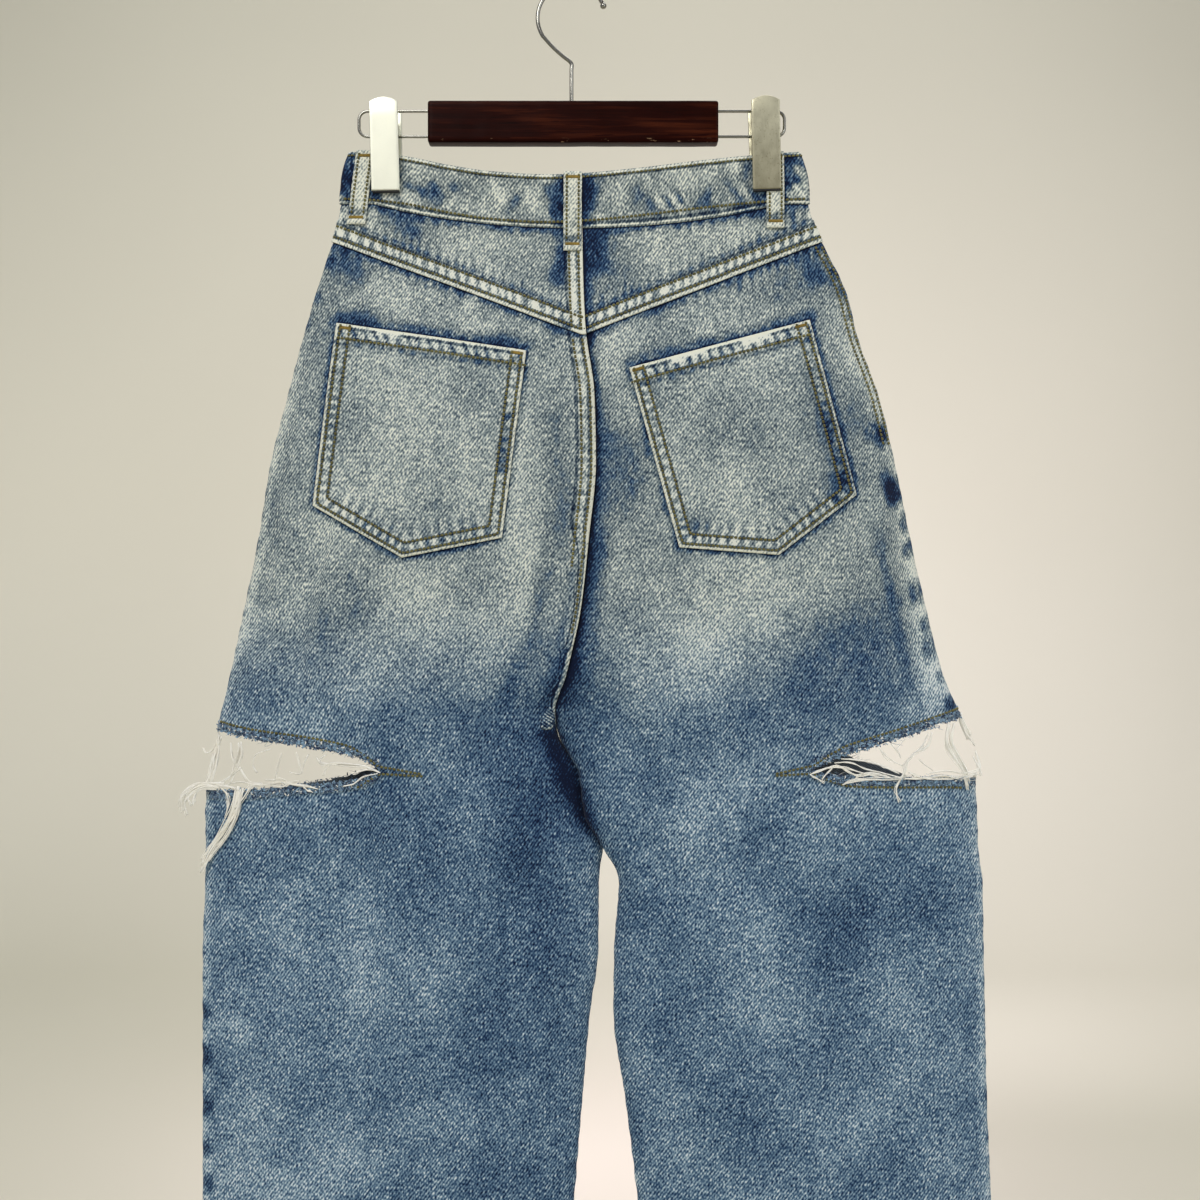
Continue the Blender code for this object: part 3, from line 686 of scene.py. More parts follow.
def sewn_sheet(name, face, grid, outward, marks, cloth_map, thick, finishes=None, join=None):
    """A thin sheet of cloth from a grid of points. join is (row, column): past that column the row and the
    next one are the same points, and before it they are the two edges of a slit."""
    rows, columns = grid.shape[:2]
    ids = np.arange(rows * columns).reshape(rows, columns)
    skip = ()
    if join:
        ids[join[0] + 1, join[1]:] = ids[join[0], join[1]:]
        skip = (join[0],)
    used = np.unique(ids)
    renumber = np.full(rows * columns, -1)
    renumber[used] = np.arange(len(used))
    ids = renumber[ids]
    r, c = rows // 3, columns // 2
    normal = np.cross(grid[r, c + 1] - grid[r, c], grid[r + 1, c] - grid[r, c])
    flip = bool(np.dot(normal, outward[r, c]) > 0)
    faces = grid_faces(ids.tolist(), not flip, skip)
    points = grid.reshape(-1, 3)[used]
    marks = {mark: np.broadcast_to(values, ids.shape).reshape(-1)[used] for mark, values in marks.items()}
    piece = shape(name, points, faces, "denim", finishes or [DENIM, DENIM_INSIDE], marks,
                  cloth_map.reshape(-1, 2)[used] * MM)
    thicken(piece, thick, 1)
    if face:
        SEWN[face].append((points, faces))
    return piece


def row_lengths(points):
    """How far along its row each point of a grid lies."""
    steps = np.linalg.norm(np.diff(points, axis=1), axis=-1)
    return np.concatenate([np.zeros((len(points), 1)), np.cumsum(steps, axis=1)], axis=1)


def lengths(points):
    """How far along its line each point lies."""
    return np.concatenate([[0], np.cumsum(np.linalg.norm(np.diff(points, axis=0), axis=1))])


def arc_turns(half, face, height, spacing, first=0.0, last=1.0):
    """Turns between first and last that are spaced out along the cloth."""
    fine = np.linspace(first, last, 1200)
    run = lengths(bare_point(half, face, fine, np.full_like(fine, height)))
    return np.interp(spaced(run[-1], *spacing) * run[-1], run, fine)


def closed_tube(rings):
    """Faces round a list of rings of point numbers, with both ends closed."""
    faces = [(ring[i - 1], ring[i], after[i], after[i - 1]) for ring, after in zip(rings, rings[1:])
             for i in [*range(1, len(ring)), 0]]
    return faces + [tuple(reversed(rings[0])), tuple(rings[-1])]


# ---------------------------------------------------------------- finishes


class Flow:
    """What comes out of a node. It can be added, subtracted, multiplied and divided like a number."""

    def __init__(self, finish, socket):
        self.finish = finish
        self.socket = socket

    def clamped(self):
        """Keep the sum that made it from 0 to 1."""
        self.socket.node.use_clamp = True
        return self


    def __add__(self, other):
        return self.finish.math("ADD", self, other)

    def __radd__(self, other):
        return self.finish.math("ADD", other, self)

    def __sub__(self, other):
        return self.finish.math("SUBTRACT", self, other)

    def __rsub__(self, other):
        return self.finish.math("SUBTRACT", other, self)

    def __mul__(self, other):
        return self.finish.math("MULTIPLY", self, other)

    def __truediv__(self, other):
        return self.finish.math("DIVIDE", self, other)


class Finish:
    """A material whose nodes are made by short calls."""

    def __init__(self, name, **shader):
        self.material = bpy.data.materials.new(name)
        self.material.use_nodes = True
        self.tree = self.material.node_tree
        self.shader = self.tree.nodes["Principled BSDF"]
        for socket, value in shader.items():
            self.shader.inputs[socket.replace("_", " ")].default_value = value

    def join(self, value, socket):
        if isinstance(value, Flow):
            self.tree.links.new(value.socket, socket)
        else:
            socket.default_value = value

    def node(self, kind, out=0, inputs=None, **settings):
        made = self.tree.nodes.new("ShaderNode" + kind)
        for setting, value in settings.items():
            setattr(made, setting, value)
        for socket, value in (inputs or {}).items():
            self.join(value, made.inputs[socket])
        return Flow(self, made.outputs[out])

    def math(self, operation, a, b=0.0):
        return self.node("Math", inputs={0: a, 1: b}, operation=operation)

    def mark(self, name):
        return self.node("Attribute", out="Fac", attribute_name=name)

    def noise(self, vector, scale, detail=2.0, roughness=0.5, distortion=0.0):
        return self.node("TexNoise", inputs={"Vector": vector, "Scale": scale, "Detail": detail,
                                             "Roughness": roughness, "Distortion": distortion})

    def stretched(self, vector, x, y, z=1.0, turn=0.0):
        return self.node("Mapping", inputs={"Vector": vector, "Scale": (x, y, z), "Rotation": (0, 0, turn)})

    def streaks(self, vector, sizes, *shape):
        """Noise that repeats so many times in each unit, along each axis."""
        return self.noise(self.stretched(vector, *sizes), 1.0, *shape)

    def between(self, value, start, end):
        return self.node("MapRange", inputs={"Value": value, "From Min": start, "From Max": end},
                         interpolation_type="SMOOTHSTEP")

    def ramp(self, value, stops):
        made = self.tree.nodes.new("ShaderNodeValToRGB")
        band = made.color_ramp
        while len(band.elements) < len(stops):
            band.elements.new(0.5)
        for element, (place, colour) in zip(band.elements, stops):
            element.position = place
            element.color = (*colour, 1)
        self.join(value, made.inputs["Fac"])
        return Flow(self, made.outputs["Color"])

    def blend(self, share, a, b):
        """A colour between two."""
        return self.node("Mix", out=2, data_type="RGBA", clamp_factor=True, inputs={0: share, 6: a, 7: b})

    def bump(self, height, strength, distance, under=None):
        inputs = {"Height": height, "Strength": strength, "Distance": distance}
        if under is not None:
            inputs["Normal"] = under
        return self.node("Bump", inputs=inputs)

    def set(self, socket, value):
        self.join(value, self.shader.inputs[socket])

    def sum(self, *terms):
        """Terms are (value, weight) with values from 0 to 1, each counted from its middle."""
        total = None
        for value, weight in terms:
            part = (value - 0.5) * weight
            total = part if total is None else total + part
        return total


def srgb(red, green, blue):
    """A colour given as a painter's 0 to 255 values."""
    return tuple((v / 255 / 12.92) if v / 255 <= 0.04045 else ((v / 255 + 0.055) / 1.055) ** 2.4
                 for v in (red, green, blue))


STEPS = (0.0, 0.2, 0.4, 0.55, 0.7, 0.85, 1.0)
BLUES = [(2, 17, 46), (21, 47, 82), (58, 87, 117), (90, 118, 143), (127, 152, 172), (172, 193, 204),
         (220, 228, 232)]
CREAMS = [(6, 21, 42), (39, 54, 68), (82, 94, 98), (116, 126, 125), (153, 161, 157), (196, 202, 192),
          (234, 234, 216)]
WARP = 0.66             # from one warp yarn to the next, mm
STEP_UP = 0.86          # how much higher each yarn's float starts than the one before
FLOAT = 4 * STEP_UP     # over three picks and under one


def faded(colours):
    return [(step, srgb(*colour)) for step, colour in zip(STEPS, colours)]


def yarn_places(f):
    """Places on the flat cloth, in millimetres."""
    flat = f.node("UVMap", uv_map="cloth")
    return f.node("Mapping", inputs={"Vector": flat, "Scale": (1000, 1000, 1000)})


def denim_finish():
    """Right-hand twill in faded indigo, with marks on the points for fading and painted shade, puckers,
    folded edges and fray. It paints shade and kept indigo near pieces sewn over it, and shadow in the furrows
    of the stitch rows.
    """
    f = Finish("stonewashed_denim", Sheen_Weight=0.06, Sheen_Roughness=0.5, Specular_IOR_Level=0.2)
    yarn = yarn_places(f)
    drift = f.node("TexNoise", out="Color", inputs={"Vector": yarn, "Scale": 0.07, "Detail": 2.0})
    sway = f.node("VectorMath", inputs={0: drift, 1: (0.5, 0.5, 0.5)}, operation="SUBTRACT")
    woven = f.node("VectorMath", inputs={0: yarn, 1: sway}, operation="ADD")
    u, v = (f.node("SeparateXYZ", out=axis, inputs={0: woven}) for axis in (0, 1))
    column = u / WARP
    phase = f.math("FRACT", (v - f.math("FLOOR", column) * STEP_UP) / FLOAT)
    rising = f.math("FRACT", (v - column * STEP_UP) / FLOAT)
    wale = 0.5 + f.math("COSINE", rising * (2 * pi)) * 0.5
    pick = 1.0 - f.between(f.math("ABSOLUTE", phase - 0.5), 0.10, 0.22)
    slub = f.streaks(yarn, (0.85, 0.20), 1.0)
    grain = f.streaks(yarn, (0.62, 0.44), 0.0)
    speck = f.streaks(yarn, (1.25, 0.9), 0.0)
    mottle = f.streaks(yarn, (0.15, 0.09), 3.0, 0.7)
    cloud = f.streaks(yarn, (0.018, 0.014), 3.0, 0.55)
    spots = f.between(f.streaks(yarn, (0.085, 0.06)), 0.60, 0.74)
    fine = f.sum((wale, 0.33), (slub, 0.48), (grain, 0.95), (speck, 0.25)) * (0.98 - f.mark("cream") * 0.12)
    edge = f.mark("edge")
    rim = f.mark("rim")
    # Near a piece sewn over the cloth: kept indigo and painted shade in a ragged band, and a narrow painted
    # shadow right at its edge.
    shade_and_indigo_halo = (1.0 - f.between(edge, 0.4, 9.5)) * f.between(f.streaks(yarn, (0.14, 0.14), 2.0, 0.6), 0.10, 0.75)
    close = 1.0 - f.between(edge, 0.4, 2.2)
    folded = 1.0 - f.between(rim, 1.2, 2.3)
    # Painted shadow in the furrows of the two rows of stitches.
    furrow_shadows = [1.0 - f.between(f.math("ABSOLUTE", rim - row), 0.5, 1.5) for row in (NEAR_ROW, FAR_ROW)]
    fray = f.mark("fray")
    curls = f.streaks(yarn, (0.6, 0.5), 2.0, 0.7, 1.5)
    # The pale and ridge marks carry painted shade and highlights in folds, beside seams and at the crotch, as
    # well as fading and puckers.
    value = f.mark("pale") + f.sum((mottle, 0.52), (cloud, 0.62)) + f.mark("ridge") * 0.38
    value = value - shade_and_indigo_halo * 0.50 - close * 0.42 - spots * 0.10
    worn = f.between(value, 0.30, 0.58)
    value = value + folded * 0.26 - (furrow_shadows[0] + furrow_shadows[1]) * 0.34 + fine
    value = (value + fray * ((curls - 0.5) * 2.4)).clamped()
    cream = (f.mark("cream") * worn + folded * 0.5).clamped()
    f.set("Base Color", f.blend(cream, f.ramp(value, faded(BLUES)), f.ramp(value, faded(CREAMS))))
    across = f.math("FRACT", column)
    weave = across * (1.0 - across) * 4.0 + pick * -0.6 + slub * 0.5
    f.set("Normal", f.bump(fray * curls, 0.9, 0.0016, f.bump(weave, 0.5, 0.00018)))
    f.set("Roughness", 0.84 + slub * 0.12)
    return f.material


def inside_finish():
    """The reverse of the twill, where the undyed weft shows."""
    f = Finish("denim_reverse", Roughness=0.95, Specular_IOR_Level=0.2)
    yarn = yarn_places(f)
    leaning = f.stretched(yarn, 1, 1, turn=radians(56))
    twill = f.node("TexWave", out="Fac", wave_type="BANDS", bands_direction="X",
                   inputs={"Vector": leaning, "Scale": 0.223, "Distortion": 1.2, "Detail": 2.0,
                           "Detail Scale": 0.6})
    slub = f.streaks(yarn, (0.2, 0.9), 2.0, 0.6)
    cloud = f.streaks(yarn, (0.05, 0.05))
    value = (0.5 + f.sum((twill, 0.35), (slub, 0.6), (cloud, 0.3))).clamped()
    f.set("Base Color", f.ramp(value, [(0.0, srgb(72, 84, 98)), (0.5, srgb(118, 128, 136)),
                                       (1.0, srgb(172, 176, 174))]))
    f.set("Normal", f.bump(f.sum((twill, 0.8), (slub, 0.8)), 0.5, 0.00025))
    return f.material


def thread_finish(name, dark, light, change=60, contrast=0.9):
    """Twisted thread, whose colour drifts from dark to light along its length."""
    f = Finish(name, Roughness=0.7, Sheen_Weight=0.2, Specular_IOR_Level=0.35)
    place = f.node("TexCoord", out="Object")
    twist = f.streaks(place, (900, 900, 900))
    drift = f.streaks(place, (change, change, change), 1.0)
    value = (0.5 + f.sum((twist, 0.8), (drift, contrast))).clamped()
    f.set("Base Color", f.ramp(value, [(0.0, srgb(*dark)), (1.0, srgb(*light))]))
    f.set("Normal", f.bump(twist, 0.4, 0.0002))
    return f.material


def metal_finish(name, dark, light, roughness, grain, darker_below=None):
    """Plated steel: a fine grain down its length, with slight darker and paler clouds. Given a pair of (foot,
    head) heights, it grows darker from the head down to the foot."""
    f = Finish(name, Metallic=1.0)
    place = f.node("TexCoord", out="Object")
    lines = f.streaks(place, (2600, 2600, 160), 2.0, 0.6)
    cloud = f.streaks(place, (90, 90, 60), 3.0, 0.6)
    pits = f.between(f.streaks(place, (700, 700, 700), 1.0), 0.62, 0.72)
    value = 0.5 + f.sum((lines, 0.35 * grain), (cloud, 0.9 * grain))
    if darker_below:
        rise = f.between(f.node("SeparateXYZ", out=2, inputs={0: place}), *darker_below)
        value = value + (rise - 0.55) * 0.55
    value = (value - pits * (0.3 * grain)).clamped()
    f.set("Base Color", f.ramp(value, [(0.0, dark), (1.0, light)]))
    f.set("Roughness", roughness + f.sum((lines, 0.15), (cloud, 0.2)))
    f.set("Normal", f.bump(lines, 0.12 * grain, 0.0001))
    return f.material


def wood_finish():
    """Dark red-brown varnish over straight grain, rubbed pale in specks along the lower edge."""
    f = Finish("dark_varnished_wood", Roughness=0.32, Coat_Weight=0.01, Coat_Roughness=0.2,
               Specular_IOR_Level=0.04)
    place = f.node("TexCoord", out="Object")
    out, height = (f.node("SeparateXYZ", out=axis, inputs={0: place}) for axis in (1, 2))
    grain = f.streaks(place, (9, 160, 260), 4.0, 0.62, 0.6)
    figure = f.streaks(place, (6, 30, 42), 2.0, 0.5, 0.8)
    pores = f.between(f.streaks(place, (60, 900, 900), 1.0), 0.6, 0.7)
    value = (0.5 + f.sum((grain, 1.5), (figure, 1.0)) - pores * 0.2).clamped()
    colour = f.ramp(value, [(0.0, srgb(15, 1, 0)), (0.5, srgb(34, 5, 1)), (1.0, srgb(72, 30, 12))])
    low = 1.0 - f.between(height, (BAR_FOOT + 1.4) * MM, (BAR_FOOT + 3.4) * MM)
    front = 1.0 - f.between(out, -6.6 * MM, -5.2 * MM)
    worn = f.between(f.streaks(place, (90, 130, 300), 3.0, 0.7), 0.62, 0.68)
    f.set("Base Color", f.blend(low * front * worn, colour, (*srgb(168, 134, 104), 1)))
    f.set("Roughness", 0.30 + grain * 0.12)
    f.set("Normal", f.bump(grain, 0.18, 0.0003))
    return f.material


def plain_finish(name, dark, light, scale, **shader):
    """A moulded or woven surface with a fine, even grain."""
    f = Finish(name, **shader)
    grain = f.noise(f.node("TexCoord", out="Object"), scale, 3.0, 0.6)
    f.set("Base Color", f.ramp(grain, [(0.3, srgb(*dark)), (0.7, srgb(*light))]))
    f.set("Normal", f.bump(grain, 0.35, 0.0002))
    return f.material


DENIM = denim_finish()
DENIM_INSIDE = inside_finish()
TOPSTITCH = thread_finish("olive_topstitch", (44, 42, 16), (136, 130, 74))
BARTACK = thread_finish("gold_bartack", (78, 64, 16), (176, 146, 58))
WHITE_YARN = thread_finish("undyed_yarn", (244, 238, 222), (255, 255, 250))
BLUE_YARN = thread_finish("indigo_yarn", (18, 44, 84), (150, 182, 206), 380, 3.2)
NICKEL_WIRE = metal_finish("bright_nickel_wire", (0.17, 0.165, 0.14), (0.46, 0.45, 0.40), 0.16, 0.5)
SATIN_NICKEL = metal_finish("satin_nickel", (0.80, 0.80, 0.66), (0.93, 0.93, 0.78), 0.46, 0.4)
BRUSHED_NICKEL = metal_finish("brushed_nickel", (0.34, 0.31, 0.20), (0.66, 0.63, 0.46), 0.40, 1.0,
                              darker_below=(-0.155, -0.085))
VARNISHED_WOOD = wood_finish()
VINYL = plain_finish("black_vinyl", (14, 14, 14), (38, 37, 36), 900, Roughness=0.6)
ZIP_TAPE = plain_finish("zip_tape_weave", (30, 38, 52), (58, 68, 84), 1400, Roughness=0.9)
BRASS = metal_finish("antique_brass", (0.26, 0.18, 0.09), (0.62, 0.48, 0.28), 0.38, 1.0)

# ---------------------------------------------------------------- panels

TUCK = 4.5              # how far a panel runs on under the piece sewn over it
FELL = 12.0             # width of a folded seam with its two rows of stitches
SLIT_BAND = 6.6         # the raw edge beyond the row of stitches along a slit
HEM_FOLD = 13.0


def flat_map(points):
    """Places on the flat cloth, with the grain running down the middle of the piece."""
    run = row_lengths(points)
    x = points[..., 0]
    middle = (x[:, 0] + x[:, -1]) / 2
    way = 1 if x[0, 0] < x[0, -1] else -1
    run_there = np.array([np.interp(way * m, way * row, along) for m, row, along in zip(middle, x, run)])
    u = (run - run_there[:, None]) * way + middle[:, None]
    return np.stack([u if points[0, -1, 1] <= 0 else -u, points[..., 2]], -1)


def pocket_gap(half, across, height):
    """How far outside a back pocket's outline a point is."""
    corners = BACK_POCKETS[half]
    gap = near_line(across, height, corners + corners[:1])[0]
    return np.where(inside(across, height, corners), 0.0, gap)


class Panel:
    """Cloth laid out on one face of one half, in rows down the piece and columns across it."""

    def __init__(self, half, face, turns, heights):
        self.half = half
        self.face = face
        self.turns = np.broadcast_to(turns, heights.shape)
        self.heights = heights
        self.bare = bare_point(half, face, self.turns, heights)
        self.x = self.bare[..., 0]
        self.from_out = row_lengths(self.bare)
        self.from_in = self.from_out[:, -1:] - self.from_out

    def sheet(self, name, lift, thick=CLOTH, join=None, **marks):
        grid = cloth(self.half, self.face, self.turns, self.heights, lift)
        outward = facing(self.half, self.face, self.turns, self.heights)
        marks = wear_and_shade_marks(self.face, self.x, self.heights, **marks)
        return sewn_sheet(f"{name}_{self.half}", self.face, grid, outward, marks, flat_map(self.bare), thick,
                          join=join)


def leg_panel(half, face):
    """The front or the back of one leg, with the slit cut in it."""
    upper, gape = slit_edges(half, face)
    end = SLIT_END[half, face]
    tip_height = float(upper(end))
    tip = float(turn_of(half, np.array(end, float), np.array(tip_height)))
    outer_part = arc_turns(half, face, -600, (4.0, 1.3, 2.6, 16), 0, tip)
    inner_part = arc_turns(half, face, -600, (4.0, 2.6, 1.5, 16), tip, 1)
    turns = np.concatenate([outer_part, inner_part[1:]])
    at_tip = len(outer_part) - 1
    if face == "back":
        top = settle(half, face, turns, yoke_seam(half, -TUCK))
    else:
        top = settle(half, face, turns, scoop_edge(half))
        top = top + TUCK * ramp(turns, SCOOP_TURN - 0.03, SCOOP_TURN + 0.01)
    over = settle(half, face, turns, upper)
    across = bare_point(half, face, turns, over)[..., 0]
    open_part = np.arange(len(turns)) < at_tip
    ragged = 0.8 * wobble(across, 3.2, 11) + 0.5 * wobble(across, 1.6, 12)
    over = over + np.where(open_part, ragged, 0)
    under = over - np.where(open_part, np.maximum(gape(across), 0.3) + 0.8 * wobble(across, 3.0, 13), 0)
    above = spaced(330, 3.5, 2.0, 1.2, 14)
    below = spaced(610, 3.7, 1.2, 2.4, 14)
    heights = np.concatenate([top + (over - top) * above[:, None], under + (HEM - under) * below[:, None]])
    last_above = len(above) - 1
    panel = Panel(half, face, turns, heights)
    x, z, from_out, from_in = panel.x, heights, panel.from_out, panel.from_in
    to_edge = np.concatenate([z[:last_above + 1] - over, under - z[last_above + 1:]])
    past_tip = np.hypot(x - end, z - tip_height)
    is_open = np.abs(x) > abs(end)
    slit_gap = np.where(is_open, np.abs(to_edge), past_tip)
    fray = fade(slit_gap, SLIT_BAND - 1.5, SLIT_BAND + 0.6) * np.where(is_open, 1, 0.7)

    lift = 0.45 * fade(from_out, 8, 11)
    side = rope(z, 19.5, 21 if half == "L" else 22)
    lift += 0.28 * side * fade(from_out, 3, 13)
    ridge = -1.3 * np.clip(side - 0.15, 0, 1) * fade(from_out, 4, 10.5)
    ridge += 0.55 * fade(from_out, 6, 15) * fade(z, -300, -240)
    in_hem = fade(z - HEM, HEM_FOLD - 1, HEM_FOLD + 1)
    hem_rope = rope(x * 0.9 + (z - HEM) * 0.7, 8.5, 31)
    lift += in_hem * (0.6 + 0.35 * hem_rope)
    ridge = ridge + 0.8 * in_hem * hem_rope + 0.4 * in_hem
    lift += fray * (0.35 + 0.55 * patchy(x, z, 1.9, 41))
    edge = np.full(x.shape, FAR)
    rim = np.minimum(z - HEM, FAR)
    if face == "back":
        under_yoke = yoke_seam(half)(x) - z
        puckers = rope(x, 7.5, 51)
        lift = lift - 0.5 * fade(under_yoke, 0, 4) + 0.3 * puckers * fade(under_yoke, 4, 22)
        ridge += 0.5 * puckers * fade(under_yoke, 2, 20)
        edge = np.minimum(edge, np.maximum(under_yoke, 0) + 0.4)
        over_top = z > np.interp(x, *zip(*sorted(BACK_POCKETS[half][:2])))
        edge = np.minimum(edge, pocket_gap(half, x, z) * np.where(over_top, 0.75, 1.5))
        seat = ramp(z, FORK - 4, -500)
        if half == "L":
            felled = seat * fade(from_in, FELL - 1, FELL + 1)
            lift = lift + felled * 0.6 + seat * 1.5 * fade(from_in, 1.0, 2.8)
            stripe = rope(z, 5.2, 61)
            lift += 0.2 * felled * stripe
            ridge += ramp(z, -470, -380) * felled * (0.45 + 0.6 * stripe)
            ridge -= 0.35 * felled * fade(z, -470, -380) * ramp(from_in, 1.5, 3)
            dying = 12 * ramp(z, -400, -445) * ramp(from_in, 5, 8)
            rim = np.minimum(rim, np.where(z > FORK, from_in * 0.75 + dying, FAR))
            ridge += 0.5 * ramp(z, -300, -420) * seat * fade(from_in, 1.6, 3.4)
            lump = np.exp(-((x + 15.5) / 5.5) ** 2 - ((z + 547) / 9.0) ** 2)
            lift += 1.3 * lump
            ridge += 0.3 * lump
            # painted shadow under the thick end of the seat seam
            ridge -= 0.9 * np.exp(-((x + 17) / 8.0) ** 2 - ((z + 561) / 3.4) ** 2)
        else:
            # painted shade beside the seat seam, where the left half's fell stands over the right: near its
            # edge and as a darker band
            edge = np.minimum(edge, np.where(z > FORK, from_in * 1.5, FAR))
            ridge -= seat * mix(0.55, 1.15, ramp(z, -360, -440)) * window(from_in, 0.0, 4.2, 2.2)
            lift -= seat * 0.9 * fade(from_in, 2, 9)
    else:
        below_mouth = scoop_edge(half)(x) - z
        rim = np.minimum(rim, np.maximum(below_mouth, 0.0) + 0.3)
        lift += 0.5 * fade(below_mouth, 9.5, 11.5)
        lift -= 1.2 * ramp(turns, 0.72, 0.76) * fade(below_mouth, 0, 4)
        ridge += 0.5 * rope(x, 7, 52) * fade(below_mouth, 3, 14)
        below_band = waist_foot("front")(x) - z
        edge = np.minimum(edge, np.where(below_band > 0, below_band, FAR))
        if half == "L":
            edge = np.minimum(edge, np.where(z > FORK, from_in, FAR))
        else:
            rim = np.minimum(rim, np.where(z > FORK, from_in * 0.75, FAR))
            lift += ramp(z, FORK - 4, -500) * 0.6 * fade(from_in, FELL - 1, FELL + 1)
    inseam = fade(z, FORK - 30, FORK)
    lift += inseam * 0.4 * rope(z, 17, 71) * fade(from_in, 2, 11)
    ridge += inseam * 0.5 * rope(z, 17, 71) * fade(from_in, 2, 8)
    rim = np.where(is_open & (slit_gap < 8), FAR, rim)
    piece = panel.sheet(f"{face}_leg", lift, join=(last_above, at_tip), ridge=ridge, edge=edge, rim=rim,
                        fray=fray)
    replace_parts(piece, f"{face}_upper_{half}", f"{face}_lower_{half}")


SEAM_END_ACROSS = -16.6
SEAM_END_HEIGHT = -547.6
SEAM_END_HALF_WIDTH = 4.9
SEAM_END_HALF_HEIGHT = 9.6
SEAM_END_RIB = 2.5      # from one rib to the next


def facing_out(face, grid):
    return np.broadcast_to(np.array([0.0, OUTWARD[face], 0.0]), grid.shape)


def seam_end():
    """The thick ribbed end of the seat seam, where the two inseams run into it."""
    share = np.linspace(0.02, 1.0, 13)[:, None]
    angle = np.linspace(0, 2 * pi, 49)[None, :]
    aside = share * SEAM_END_HALF_WIDTH * np.cos(angle)
    rise = share * SEAM_END_HALF_HEIGHT * np.sin(angle) - 0.16 * aside * aside
    x = SEAM_END_ACROSS + aside + 0.12 * rise
    z = SEAM_END_HEIGHT + rise
    rib = np.sin(2 * pi * (rise + 0.75 * aside) / SEAM_END_RIB)
    dome = np.sqrt(np.maximum(1 - share * share, 0))
    grid = on_face("back", x, z, 0.3 + 2.4 * dome + 0.45 * rib * (1 - share ** 6))
    to_rim = (1 - share) * 9
    marks = marks_of(0.60, 0.3, 0.35 + 0.95 * rib, 0.9 + to_rim, np.where(np.sin(angle) < -0.35, to_rim, FAR))
    sewn_sheet("fork_seam_end", None, grid, facing_out("back", grid), marks, np.stack([x, z], -1), 0.5)


def yoke(half):
    """The shaped piece between the waistband and the back, felled over the back along its lower edge."""
    turns = arc_turns(half, "back", -215, (2.1, 1.2, 1.4, 8))
    top = settle(half, "back", turns, waist_foot("back", -TUCK))
    foot = settle(half, "back", turns, yoke_seam(half))
    shares = 1 - spaced(66, 1.9, 0.9, 1.5, 8)[::-1]
    heights = top + (foot - top) * np.sort(shares)[:, None]
    panel = Panel(half, "back", turns, heights)
    x, z, from_in = panel.x, heights, panel.from_in
    outer, inner = outer_inner(half, YOKE_SIDE)
    slope = (YOKE_CENTRE - YOKE_SIDE) / abs(inner - outer)
    above = (z - foot) * cos(np.arctan(slope)) / YOKE_ROWS
    ladder = rope(x * 1.03, 7.6, 81 if half == "L" else 82)
    between = window(above, 4.5, 9.2, 1.0)
    felled = fade(above, FELL, FELL + 1.6)
    lift = 0.35 + 0.95 * felled + 0.3 * ladder * between
    lift -= 0.25 * (window(above, 3.0, 3.4, 0.8) + window(above, 10.1, 10.5, 0.8))
    ridge = between * (0.45 + 0.95 * np.tanh(1.9 * ladder)) * felled
    ridge = ridge + 0.45 * rope(x, 7.0, 83) * window(above, 12, 17, 4) - 0.55 * window(above, 12.4, 13.2, 2.2)
    under_band = waist_foot("back")(x) - z
    lift -= 0.75 * fade(under_band, 0, 4)
    ridge += 0.4 * rope(x, 9.0, 84) * fade(under_band, 3, 16)
    edge = np.maximum(under_band, 0) + 0.2
    rim = np.where(above < 15, above, FAR)
    if half == "L":
        centre = fade(from_in, FELL - 1, FELL + 1)
        lift = lift + 0.7 * centre + 0.7 * fade(from_in, 1.0, 2.6)
        ridge += centre * (1.1 + 0.3 * rope(z, 5, 85)) * ramp(under_band, 4, 16)
        rim = np.minimum(rim, from_in * 0.8)
    else:
        edge = np.minimum(edge, from_in * 0.8)
        lift -= 0.2 * fade(from_in, 2, 8)
    ridge += 0.3 * fade(panel.from_out, 4, 12)
    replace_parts(panel.sheet("yoke_panel", lift, ridge=ridge, edge=edge, rim=rim), f"yoke_{half}")


def pocket_facing(half):
    """The cloth behind the mouth of a front pocket."""
    turns = arc_turns(half, "front", -215, (3.0, 1.6, 2.0, 8), 0.01, SCOOP_TURN + 0.05)
    top = settle(half, "front", turns, waist_foot("front", -TUCK))
    foot = settle(half, "front", turns, scoop_edge(half, FACING_BELOW))
    heights = top + (foot - top) * np.linspace(0, 1, 34)[:, None]
    panel = Panel(half, "front", turns, heights)
    above = heights - scoop_edge(half)(panel.x)
    below_band = waist_foot("front")(panel.x) - heights
    lift = -(CLOTH + FACING_GAP) * fade(above, 0, 10) - 0.75 * fade(below_band, 0, 4)
    edge = np.minimum(np.abs(above) * 0.8, below_band + 1)
    piece = panel.sheet("pocket_facing", lift, CLOTH * 0.8, paler=-0.08, edge=edge)
    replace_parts(piece, f"front_pocket_facing_{half}")


def loop_gap(face, across):
    """How far a place on the waistband is from the side of the nearest belt loop."""
    gaps = [np.abs(across - mix(loop.top, loop.bottom, 0.4)) - LOOP_WIDTH / 2
            for loop in BELT_LOOPS if loop.face == face]
    return np.minimum.reduce(gaps)


BAND_OUTER = 1.25       # how far the waistband's two faces stand off the cloth's line
BAND_INNER = -2.1


